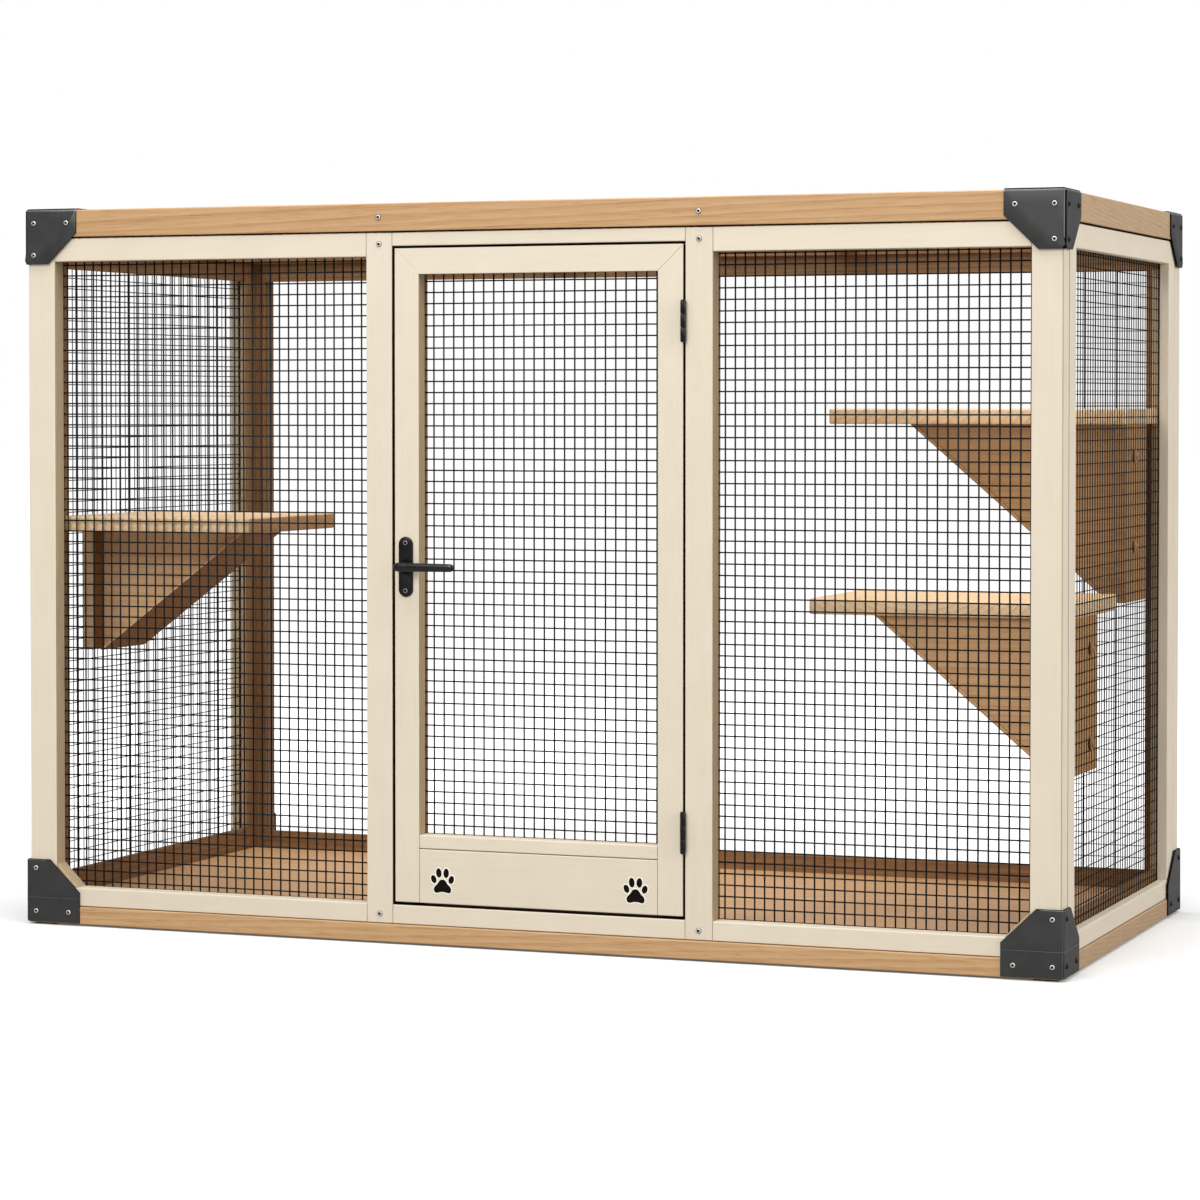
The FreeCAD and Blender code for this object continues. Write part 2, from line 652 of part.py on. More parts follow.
# Base beams, joists, floor and feet
BASE_Z = ("pad_h", BASE_TOP)
BETWEEN_BASE = (f"({BEAM_FRONT} + base_t)", f"({BEAM_BACK} - base_t)")
node("front_base_beam", cut("front_base_beam_cut", stick(
    "front_base_beam_board", (BEAM_LEFT, BEAM_RIGHT), (BEAM_FRONT, BETWEEN_BASE[0]), BASE_Z), frame_holes))
node("back_base_beam", cut("back_base_beam_cut", stick(
    "back_base_beam_board", (BEAM_LEFT, BEAM_RIGHT), (BETWEEN_BASE[1], BEAM_BACK), BASE_Z), frame_holes))
SIDE_BASES = {"left": (BEAM_LEFT, f"{BEAM_LEFT} + base_t"), "right": (f"{BEAM_RIGHT} - base_t", BEAM_RIGHT)}
group("side_base_beams", *[
    cut(f"{side}_base_beam", stick(f"{side}_base_beam_board", x, BETWEEN_BASE, BASE_Z), frame_holes)
    for side, x in SIDE_BASES.items()])
group("floor_joists", *[
    stick(f"{name}_joist", (f"{x} - joist_w / 2", f"{x} + joist_w / 2"), BETWEEN_BASE, BASE_Z)
    for name, x in JAMB_CENTRES.items()])
node("floor_board", stick("floor_board", with_play(INSIDE_X), with_play(INSIDE_Y), (BASE_TOP, FLOOR_TOP)))
foot = stick("foot_pad", (f"{BEAM_LEFT} + pad_inset", f"{BEAM_LEFT} + pad_inset + pad_w"),
             (f"{BEAM_FRONT} + pad_inset", f"{BEAM_FRONT} + pad_inset + pad_w"), ("0", "pad_h"))


def at_corners(label, piece, rear):
    """A front left piece and its mirror image, and a rear one, drawn at the front, mirrored to the back."""
    group(label, piece, mirrored(f"{label}_right", piece, X_AXIS), mirrored(f"{label}_back", rear, Y_AXIS),
          mirrored(f"{label}_back_right", rear, X_AXIS, Y_AXIS))


at_corners("foot_pads", foot, foot)


def prism(name, role, corners, length, reverse, x, y, z):
    """A straight-sided profile padded into a board of its own body."""
    body = doc.addObject("PartDesign::Body", name)
    sketch = polygon_sketch(body, role, f"{name}_profile", corners)
    pad(body, sketch, f"{name}_pad", length, reverse)
    place(body, x, y, z)
    return body


# Painted blocks in the outer lower corners of the front frame
BLOCK = (("0", "0"), ("block_leg", "0"), ("0", "block_leg"))
front_block = prism("front_block", "XZ_Plane", BLOCK, "net_depth", True, LEFT_BAY, FRONT, SILL_TOP)
group("corner_blocks", front_block, mirrored("right_front_block", front_block, X_AXIS))


# Corner brackets: two bent wings, and on the upper ones a lip over the top
def bracket(kind, up, z):
    """The front left bracket. Its wings run up or down from its end, as up says."""
    name = f"{kind}_bracket"
    width, height, edge = f"{name}_w", f"{up}{name}_h", f"{up}{name}_edge"
    rise, far = f"{up}{kind}_screw_rise", f"{up}{kind}_screw_far"
    body = doc.addObject("PartDesign::Body", name)
    wing = (("0", "0"), (width, "0"), (width, edge), ("bracket_foot", height), ("0", height))
    spots = (("bracket_screw_in", rise), ("bracket_screw_out", rise), ("bracket_screw_in", far))
    front = polygon_sketch(body, "XZ_Plane", f"{name}_front", wing)
    pad(body, front, f"{name}_front_wing", "bracket_t", True)
    side = polygon_sketch(body, "YZ_Plane", f"{name}_side", wing)
    pad(body, side, f"{name}_side_wing", "bracket_t", False)
    if up == "-":
        lip = (("0", "0"), (width, "0"), (width, "bracket_foot"), ("bracket_foot", width), ("0", width))
        top = polygon_sketch(body, "XY_Plane", f"{name}_lip", lip)
        pad(body, top, f"{name}_top_lip", "bracket_t", False)
    hole = "screw_r + screw_play"
    for face, role, reverse in (("front", "XZ_Plane", False), ("side", "YZ_Plane", True)):
        holes = hole_sketch(body, role, f"{name}_{face}_holes", hole, spots)
        pocket_through(body, holes, f"{name}_{face}_cut", reverse)
    place(body, f"{BEAM_LEFT} - bracket_t", f"{BEAM_FRONT} - bracket_t", z)
    return body


top_bracket = bracket("top", "-", ROOF_TOP)
at_corners("top_corner_brackets", top_bracket, top_bracket)
low_bracket = bracket("low", "", "pad_h + low_bracket_lift")
# The rear pair is cropped where its back wing would stand in the mesh opening
rear_crop = stick("rear_crop", (LEFT_BAY, f"({LEFT_BAY} + low_bracket_w)"),
                  (f"({BEAM_FRONT} - 2 * bracket_t)", BEAM_FRONT),
                  (SILL_TOP, f"({SILL_TOP} + low_bracket_h)"))
at_corners("bottom_corner_brackets", low_bracket, cut("rear_low_bracket", low_bracket, rear_crop))

# Door stops behind the opening
STOP_Y = (INNER_FRONT, f"({INNER_FRONT} + stop_t)")
STOP_LEFT = (f"({OPENING_LEFT} + stop_reach - stop_w)", f"({OPENING_LEFT} + stop_reach)")
STOP_RIGHT = (f"({OPENING_RIGHT} - stop_reach)", f"({OPENING_RIGHT} - stop_reach + stop_w)")
STOP_LOW = (f"({SILL_TOP} + stop_reach - stop_w)", f"({SILL_TOP} + stop_reach)")
STOP_TOP = (f"({HEADER_LOW} - stop_reach)", f"({HEADER_LOW} - stop_reach + stop_w)")
group("door_stops",
      stick("low_stop", (STOP_LEFT[0], STOP_RIGHT[1]), STOP_Y, STOP_LOW),
      stick("top_stop", (STOP_LEFT[0], STOP_RIGHT[1]), STOP_Y, STOP_TOP),
      stick("latch_stop", STOP_LEFT, STOP_Y, (STOP_LOW[1], STOP_TOP[0])),
      stick("hinge_stop", STOP_RIGHT, STOP_Y, (STOP_LOW[1], STOP_TOP[0])))

# Door: stiles mitred to the top rail, a narrow rail over a solid kick panel, mesh held by battens
DOOR_T = f"({DOOR_BACK} - {FRONT})"
DOOR_H = f"({DOOR_TOP} - {DOOR_LOW})"
DOOR_OPENING = (DOOR_BAY_LEFT, DOOR_BAY_RIGHT)
DOOR_OPENING_Z = (DOOR_BAY_LOW, DOOR_BAY_TOP)
DOOR_REBATE = (f"({FRONT} + door_net_depth)", DOOR_BACK)
DOOR_NET = (DOOR_REBATE[0], f"({FRONT} + door_net_depth + net_t)")
SPINDLE_X = f"({DOOR_LEFT} + spindle_in)"
SPINDLE_Z = f"({DOOR_LOW} + spindle_z)"

door_edge = -size("frame_w") / 2 + size("stile_w") + size("left_bay_w") + size("jamb_w") + size("gap_latch")
door_low = base_top + size("bottom_rail_h") + size("gap_bottom")
plate_front = -size("frame_d") / 2 - size("plate_t")
spindle_x = door_edge + size("spindle_in")
spindle_z = door_low + size("spindle_z")
door_screws, door_holes = screws("door_screws", [
    ((spindle_x, plate_front, spindle_z + side * size("plate_screw")), (0, -1, 0)) for side in (-1, 1)])

door_rebate = recess("door_rebate", DOOR_OPENING, DOOR_REBATE, DOOR_OPENING_Z, "y")
spindle_hole = rod("spindle_hole", "spindle_hole_r", DOOR_T, SPINDLE_X, FRONT, SPINDLE_Z, Y_AXIS)
latch_stile = prism("latch_stile", "XZ_Plane", (
    ("0", "0"), ("door_stile_w", "0"), ("door_stile_w", f"{DOOR_H} - door_top_rail_h"), ("0", DOOR_H)),
    DOOR_T, True, DOOR_LEFT, FRONT, DOOR_LOW)
hinge_stile = prism("hinge_stile", "XZ_Plane", (
    ("0", "0"), ("0", DOOR_H), ("-door_stile_w", f"{DOOR_H} - door_top_rail_h"), ("-door_stile_w", "0")),
    DOOR_T, True, DOOR_RIGHT, FRONT, DOOR_LOW)
node("door_latch_stile", cut("door_latch_stile_cut", latch_stile, door_rebate, spindle_hole, door_holes))
node("door_hinge_stile", cut("door_hinge_stile_cut", hinge_stile, door_rebate))
DOOR_DEPTH = (FRONT, DOOR_BACK)
DOOR_BATTEN = (DOOR_NET[1], DOOR_BACK)
MIDDLE_RAIL_Z = (f"({KICK_TOP} + kick_seam)", DOOR_BAY_LOW)
node("door_top_rail", cut("door_top_rail_cut", slab(
    "door_top_rail_board", (DOOR_LEFT, DOOR_RIGHT), DOOR_OPENING, DOOR_DEPTH, (DOOR_BAY_TOP, DOOR_TOP)),
    door_rebate))
node("door_middle_rail", cut("door_middle_rail_cut", stick(
    "door_middle_rail_board", DOOR_OPENING, DOOR_DEPTH, MIDDLE_RAIL_Z), door_rebate))
mesh_sheet("door_mesh", wider(DOOR_OPENING, "net_lap"), DOOR_NET, wider(DOOR_OPENING_Z, "net_lap"),
           "net_pitch")
group("door_battens", *batten_ring("door_batten", DOOR_OPENING, DOOR_OPENING_Z, DOOR_BATTEN, "x"))


# Paw prints: four toes and a pad, let into the face of the kick panel
def smooth_outline(half, grow):
    """The closed curve through the points of a right half and their mirror images, each moved outwards."""
    ring = list(half) + [(-x, z) for x, z in reversed(half[1:-1])]
    points = []
    for i, (x, z) in enumerate(ring):
        (x0, z0), (x1, z1) = ring[i - 1], ring[(i + 1) % len(ring)]
        run = math.hypot(x1 - x0, z1 - z0)
        points.append(Vec(x - grow * (z1 - z0) / run, 0, z + grow * (x1 - x0) / run))
    curve = Part.BSplineCurve()
    curve.interpolate(Points=points, PeriodicFlag=True)
    return Part.Wire([curve.toShape()])


def paw(x, z, grow):
    """One paw print as five slim solids, each grown all round."""
    outlines = [smooth_outline(PAW_PAD, grow)]
    for u, v, half_w, half_h, lean in PAW_TOES:
        toe = Part.Ellipse(Vec(0, 0, 0), half_h + grow, half_w + grow).toShape()
        toe.rotate(Vec(0, 0, 0), Vec(0, 0, 1), 90)
        toe.rotate(Vec(0, 0, 0), Vec(1, 0, 0), 90)
        toe.rotate(Vec(0, 0, 0), Vec(0, 1, 0), -lean)
        toe.translate(Vec(u, 0, v))
        outlines.append(Part.Wire([toe]))
    prints = [Part.Face(outline).extrude(Vec(0, size("paw_depth"), 0)) for outline in outlines]
    for shape in prints:
        shape.translate(Vec(x, -size("frame_d") / 2, z))
    return prints


door_far = door_edge + size("door_opening_w") - size("gap_latch") - size("gap_hinge")
paw_places = [(door_edge + size("paw_left_x"), door_low + size("paw_z")),
              (door_far - size("paw_right_x"), door_low + size("paw_z"))]
inlays = [shape for x, z in paw_places for shape in paw(x, z, 0)]
pockets = [shape for x, z in paw_places for shape in paw(x, z, size("paw_play"))]
node("paw_inlays", solid("paw_inlays", Part.makeCompound(inlays)))
node("door_kick_panel", cut("door_kick_panel_cut", stick(
    "door_kick_panel_board", DOOR_OPENING, (FRONT, f"({FRONT} + kick_t)"), (DOOR_LOW, KICK_TOP)),
    solid("paw_pockets", Part.makeCompound(pockets))))

# Hinges: a leaf on the jamb, a leaf on the door, three knuckles and a capped pin
HINGE_X = f"({OPENING_RIGHT} - gap_hinge / 2)"
HINGE_Y = f"({FRONT} - knuckle_off)"
LEAF_Y = (HINGE_Y, f"({FRONT} + leaf_d)")
KNUCKLE_H = "((leaf_h - 2 * knuckle_gap) / 3)"
frame_leaves, door_leaves, hinge_pins = [], [], []
for name, height in (("upper", "hinge_upper_z"), ("lower", "hinge_lower_z")):
    low = f"({DOOR_LOW} + {height} - leaf_h / 2)"
    steps = [f"({low} + {i} * ({KNUCKLE_H} + knuckle_gap))" for i in range(3)]
    barrels = [rod(f"{name}_barrel_{i}", "knuckle_r", KNUCKLE_H, HINGE_X, HINGE_Y, z, (0, 0, 1))
               for i, z in enumerate(steps)]
    bore = rod(f"{name}_bore", "pin_r + pin_play", "leaf_h", HINGE_X, HINGE_Y, low, (0, 0, 1))
    clear_r = "knuckle_r + knuckle_gap"
    middle_clear = rod(f"{name}_middle_clear", clear_r, f"{KNUCKLE_H} + 2 * knuckle_gap", HINGE_X, HINGE_Y,
                       f"{steps[1]} - knuckle_gap", (0, 0, 1))
    end_clears = [rod(f"{name}_end_clear_{i}", clear_r, f"{KNUCKLE_H} + knuckle_gap", HINGE_X, HINGE_Y,
                      steps[i] if i == 0 else f"{steps[i]} - knuckle_gap", (0, 0, 1)) for i in (0, 2)]
    leaf_z = (low, f"({low} + leaf_h)")
    jamb_plate = cut(f"{name}_jamb_plate", stick(
        f"{name}_jamb_leaf", (f"({OPENING_RIGHT} - leaf_t)", OPENING_RIGHT), LEAF_Y, leaf_z), middle_clear)
    door_plate = cut(f"{name}_door_plate", stick(
        f"{name}_door_leaf", (DOOR_RIGHT, f"({DOOR_RIGHT} + leaf_t)"), LEAF_Y, leaf_z), *end_clears)
    frame_leaves.append(cut(f"{name}_frame_leaf_bored", fuse(
        f"{name}_frame_leaf", jamb_plate, barrels[0], barrels[2]), bore))
    door_leaves.append(cut(f"{name}_door_leaf_bored", fuse(
        f"{name}_door_leaf_joined", door_plate, barrels[1]), bore))
    caps = [rod(f"{name}_pin_cap_{i}", "pin_cap_r", "pin_cap_h", HINGE_X, HINGE_Y, z, (0, 0, 1))
            for i, z in enumerate((f"{low} - pin_cap_h", leaf_z[1]))]
    shaft = rod(f"{name}_pin_shaft", "pin_r", "leaf_h", HINGE_X, HINGE_Y, low, (0, 0, 1))
    hinge_pins.append(fuse(f"{name}_pin", shaft, *caps))
group("hinge_frame_leaves", *frame_leaves)
group("hinge_door_leaves", *door_leaves)
group("hinge_pins", *hinge_pins)

# Turn latch: plate on the door's face, lever, spindle through the stile, tongue behind the jamb
PLATE_Y = f"({FRONT} - plate_t)"
PLATE_END = "(plate_h / 2 - plate_w / 2)"
PLATE_X = (f"{SPINDLE_X} - plate_w / 2", f"{SPINDLE_X} + plate_w / 2")
PLATE_Z = (f"{SPINDLE_Z} - {PLATE_END}", f"{SPINDLE_Z} + {PLATE_END}")
plate_ends = [rod(f"plate_end_{i}", "plate_w / 2", "plate_t", SPINDLE_X, PLATE_Y, z, Y_AXIS)
              for i, z in enumerate(reversed(PLATE_Z))]
plate_web = stick("plate_web", PLATE_X, (PLATE_Y, FRONT), PLATE_Z)
plate_bore = rod("plate_bore", "spindle_r + spindle_play", "plate_t", SPINDLE_X, PLATE_Y, SPINDLE_Z, Y_AXIS)
plate_blank = fuse("plate_blank", plate_web, *plate_ends)
node("handle_plate", cut("handle_plate_cut", plate_blank, plate_bore, door_holes))

HUB_BACK = f"({PLATE_Y} - hub_play)"
LEVER_BACK = f"({HUB_BACK} - hub_l)"
LEVER_FRONT = f"({LEVER_BACK} - lever_t)"
arm = prism("lever_arm", "XZ_Plane", (
    ("-lever_tail", "-lever_w / 2"), ("lever_l", "-lever_end_w / 2"), ("lever_l", "lever_end_w / 2"),
    ("-lever_tail", "lever_w / 2")), "lever_t", True, SPINDLE_X, LEVER_FRONT, SPINDLE_Z)
TAIL_X = f"{SPINDLE_X} - lever_tail"
tail = rod("lever_tail_end", "lever_w / 2", "lever_t", TAIL_X, LEVER_FRONT, SPINDLE_Z, Y_AXIS)
hub = rod("lever_hub", "hub_r", "hub_l", SPINDLE_X, LEVER_BACK, SPINDLE_Z, Y_AXIS)
spindle_seat = rod("spindle_seat", "spindle_r", "hub_l", SPINDLE_X, LEVER_BACK, SPINDLE_Z, Y_AXIS)
node("lever_handle", cut("lever_handle_cut", fuse("lever_blank", arm, tail, hub), spindle_seat))

TONGUE_FRONT = f"({STOP_Y[1]} + tongue_clear)"
TONGUE_BACK = f"({TONGUE_FRONT} + tongue_t)"
SPINDLE_L = f"{TONGUE_BACK} - {LEVER_BACK}"
node("latch_spindle", rod("latch_spindle", "spindle_r", SPINDLE_L, SPINDLE_X, LEVER_BACK, SPINDLE_Z, Y_AXIS))
tongue_bar = stick("tongue_bar", (f"{SPINDLE_X} - tongue_w / 2", f"{SPINDLE_X} + tongue_w / 2"),
                   (TONGUE_FRONT, TONGUE_BACK), (f"{SPINDLE_Z} - tongue_l", SPINDLE_Z))
tongue_end = rod("tongue_end", "tongue_w / 2", "tongue_t", SPINDLE_X, TONGUE_FRONT, SPINDLE_Z, Y_AXIS)
TAIL_L = f"{TONGUE_BACK} - {DOOR_BACK}"
tongue_seat = rod("tongue_seat", "spindle_r", TAIL_L, SPINDLE_X, DOOR_BACK, SPINDLE_Z, Y_AXIS)
node("latch_tongue", cut("latch_tongue_cut", fuse("tongue_blank", tongue_bar, tongue_end), tongue_seat))
spacer_tube = rod("spacer_tube", "spacer_r", f"{TONGUE_FRONT} - {DOOR_BACK} - hub_play", SPINDLE_X,
                  f"{DOOR_BACK} + hub_play", SPINDLE_Z, Y_AXIS)
node("latch_spacer", cut("latch_spacer_cut", spacer_tube, tongue_seat))
KEEPER_X = (f"({STOP_LEFT[0]} - keeper_w)", STOP_LEFT[0])
node("latch_keeper", stick("latch_keeper", KEEPER_X, (INNER_FRONT, f"({TONGUE_FRONT} - keeper_clear)"),
                           (f"{SPINDLE_Z} - keeper_h / 2", f"{SPINDLE_Z} + keeper_h / 2")))

# Shelves on hollow wedges; each wedge's wall board is bolted through a gap of the side mesh
NET_INSIDE = {"left": f"({LEFT} + side_net_depth + net_t)", "right": f"({RIGHT} - side_net_depth - net_t)"}
shelf_bolts = []
side_bay = size("frame_d") - 2 * size("frame_t") - 2 * size("side_stile_w")
wall_low = base_top + size("bottom_rail_h")
wall_bay = size("frame_h") - size("bottom_rail_h") - size("top_rail_h")


def gap_centre(start, span, target):
    """The centre of the mesh gap nearest to a place along one side of a mesh opening."""
    step = span / max(1, round(span / size("net_pitch")))
    return start + (math.floor((target - start) / step) + 0.5) * step


def wedge(name, side, shelf, front_edge, shelf_z):
    """The hollow wedge under a shelf: wall board, sloping board and a cheek in front and behind."""
    wall, out = NET_INSIDE[side], "+" if side == "left" else "-"
    y = (f"({front_edge} + {name}_wedge_in)", f"({front_edge} + {name}_wedge_in + wedge_w)")
    z = (f"({shelf_z} - {name}_wedge_h)", shelf_z)

    def span(near, far):
        """X limits at two distances from the wall, low first."""
        ends = (f"({wall} {out} ({near}))", f"({wall} {out} ({far}))")
        return ends if side == "left" else ends[::-1]

    length, foot = f"{name}_wedge_l", f"{name}_wedge_foot"
    sign = 1 if side == "left" else -1
    mesh_x = sign * (size("side_net_depth") + size("net_t") - size("frame_w") / 2)
    doc.recompute()
    middle = shelf.Shape.BoundBox.YMin + size(f"{name}_wedge_in") + size("wedge_w") / 2
    bolt_y = gap_centre(-side_bay / 2, side_bay, middle)
    top, drop = size(f"{name}_shelf_z"), size(f"{name}_wedge_h")
    holes = []
    for share in (1 / 4, 3 / 4):
        bolt_z = gap_centre(wall_low, wall_bay, top - share * drop)
        seat = Vec(mesh_x - sign * size("net_t"), bolt_y, bolt_z)
        inward = Vec(sign, 0, 0)
        shank = Part.makeCylinder(size("bolt_r"), size("bolt_l"), seat, inward)
        washer = Part.makeCylinder(size("washer_r"), size("washer_t"), seat, inward * -1)
        head = Part.makeCone(size("bolt_head_r"), size("bolt_head_r") / 2, size("bolt_head_h"),
                             seat - inward * size("washer_t"), inward * -1)
        shelf_bolts.append(shank.fuse([washer, head]).removeSplitter())
        play = size("bolt_play")
        holes.append(Part.makeCylinder(size("bolt_r") + play, size("bolt_l") + play, seat, inward))
    wall_board = cut(f"{name}_wall_board", stick(f"{name}_wall_blank", span("0", "wall_board_t"), y, z),
                     solid(f"{name}_bolt_holes", Part.makeCompound(holes)))
    slope_x = span(length, f"{length} + slope_t"), span(foot, f"{foot} + slope_t")
    slope = slab(f"{name}_slope", *slope_x, y, z)
    cheek_x = span("wall_board_t", length), span("wall_board_t", foot)
    inset = f"{side}_cheek_inset"
    front = slab(f"{name}_front_cheek", *cheek_x,
                 (f"({y[0]} + {inset})", f"({y[0]} + {inset} + cheek_t)"), z)
    rear = slab(f"{name}_rear_cheek", *cheek_x,
                (f"({y[1]} - {inset} - cheek_t)", f"({y[1]} - {inset})"), z)
    return [wall_board, slope, front, rear]


SHELVES = {
    "left": ("left", (INNER_LEFT, f"{INNER_LEFT} + left_shelf_l"),
             (INNER_FRONT, f"{INNER_FRONT} + left_shelf_d")),
    "upper": ("right", (f"{INNER_RIGHT} - upper_shelf_l", INNER_RIGHT),
              (f"{INNER_BACK} - upper_shelf_d", INNER_BACK)),
    "lower": ("right", (f"{NET_INSIDE['right']} - lower_shelf_l", NET_INSIDE["right"]),
              (f"{INNER_FRONT} + lower_shelf_in", f"{INNER_FRONT} + lower_shelf_in + lower_shelf_d")),
}
for name, (side, x, y) in SHELVES.items():
    label = "left_shelf" if name == "left" else f"right_{name}_shelf"
    z = f"{name}_shelf_z"
    level = (z, f"{z} + shelf_t")
    board = stick(f"{label}_board", x, y, level)
    if name == "upper":
        tongue = stick("upper_shelf_tongue", (INNER_RIGHT, NET_INSIDE["right"]),
                       (y[0], f"({SIDE_BAY_END} - fit)"), level)
        board = fuse("upper_shelf_joined", board, tongue)
    node(f"{label}_board", board)
    group(f"{label}_bracket", *wedge(name, side, board, y[0], z))
node("shelf_bolts", solid("shelf_bolts", Part.makeCompound(shelf_bolts)))

doc.recompute()
for thing in doc.Objects:
    if "Invalid" in thing.State or "Error" in thing.State:
        raise RuntimeError(f"{thing.Name} failed: {thing.State}")
os.makedirs("parts", exist_ok=True)
for label, thing in nodes.items():
    if thing.Shape.isNull() or not thing.Shape.isValid() or not thing.Shape.Solids:
        raise RuntimeError(f"{label} has no valid solid")
    thing.Shape.exportStep(f"parts/{label}.step")
print(len(nodes), "sub-parts,", sum(len(thing.Shape.Solids) for thing in nodes.values()), "solids")
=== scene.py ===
import json
import math
import random

import bmesh
import bpy
from mathutils import Matrix, Vector


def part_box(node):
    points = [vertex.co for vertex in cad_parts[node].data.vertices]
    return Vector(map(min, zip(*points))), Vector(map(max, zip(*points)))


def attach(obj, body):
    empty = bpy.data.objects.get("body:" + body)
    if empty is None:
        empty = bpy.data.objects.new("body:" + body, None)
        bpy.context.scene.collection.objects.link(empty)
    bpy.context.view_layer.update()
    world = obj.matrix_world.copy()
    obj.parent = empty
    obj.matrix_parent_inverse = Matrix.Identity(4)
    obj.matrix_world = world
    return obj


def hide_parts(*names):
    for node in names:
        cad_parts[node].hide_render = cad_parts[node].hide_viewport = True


# Outdoor cat enclosure in a white studio: cream painted timber frames, oiled timber beams, black welded mesh,
# dark grey corner brackets, a mesh door with a turn latch and three shelves on hollow wedges.

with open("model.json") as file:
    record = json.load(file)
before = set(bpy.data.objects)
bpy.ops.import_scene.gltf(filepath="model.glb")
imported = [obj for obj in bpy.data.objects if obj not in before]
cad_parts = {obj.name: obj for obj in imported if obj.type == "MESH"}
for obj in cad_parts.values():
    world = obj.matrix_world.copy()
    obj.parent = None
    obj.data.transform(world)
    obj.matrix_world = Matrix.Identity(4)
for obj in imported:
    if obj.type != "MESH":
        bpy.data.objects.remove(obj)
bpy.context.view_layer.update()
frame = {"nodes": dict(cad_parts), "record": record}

MM = 0.001
NEAR = 0.1 * MM        # what lies closer than this counts as touching
LOOKS_ALONG = 0.9      # from this cosine on, a face looks along an axis
LEANS_TO = 0.3         # and from this one on, it leans towards it
ALONG_X = Vector((1, 0, 0))
SHARP_EDGE = math.radians(30)
# edges that turn by fewer degrees than this are shaded round
PLATE_SMOOTH = 35
METAL_SMOOTH = 40
LEVER_SMOOTH = 50
# how far each board's grain may be shifted along it and across it, in metres
GRAIN_SHIFT = (0.6, 0.02, 0.02)
TONE_SEED = 41
chance = random.Random(TONE_SEED)


def linear(code):
    """An sRGB hex colour as linear red, green, blue and full alpha."""
    parts = [int(code[i:i + 2], 16) / 255 for i in (1, 3, 5)]
    return tuple(c / 12.92 if c <= 0.04045 else ((c + 0.055) / 1.055) ** 2.4 for c in parts) + (1.0,)


def add(tree, kind, inputs=None, stops=None, **settings):
    """One node with its settings. An input is a value or the socket that feeds it; stops fill a ramp."""
    node = tree.nodes.new(kind)
    for name, value in settings.items():
        setattr(node, name, value)
    for key, value in (inputs or {}).items():
        if isinstance(value, bpy.types.NodeSocket):
            tree.links.new(value, node.inputs[key])
        else:
            node.inputs[key].default_value = value
    for number, (place, colour) in enumerate(stops or ()):
        ramp = node.color_ramp.elements
        stop = ramp[number] if number < 2 else ramp.new(place)
        stop.position = place
        stop.color = colour
    return node


def new_material(name, **constants):
    """A named material whose shader has its constant values set; returns it with its tree and shader."""
    material = bpy.data.materials.new(name)
    material.use_nodes = True
    tree = material.node_tree
    shader = tree.nodes["Principled BSDF"]
    for key, value in constants.items():
        shader.inputs[key.replace("_", " ")].default_value = value
    return material, tree, shader


# Finishes

RING_WAVE = 0.314      # the scale at which the wave texture draws one ring in a metre


def mark_scale(length_mm, width_mm):
    """The scale of a pattern whose marks have this length along the grain and this width across it."""
    return 1 / (length_mm * MM), 1 / (width_mm * MM), 1 / (width_mm * MM)


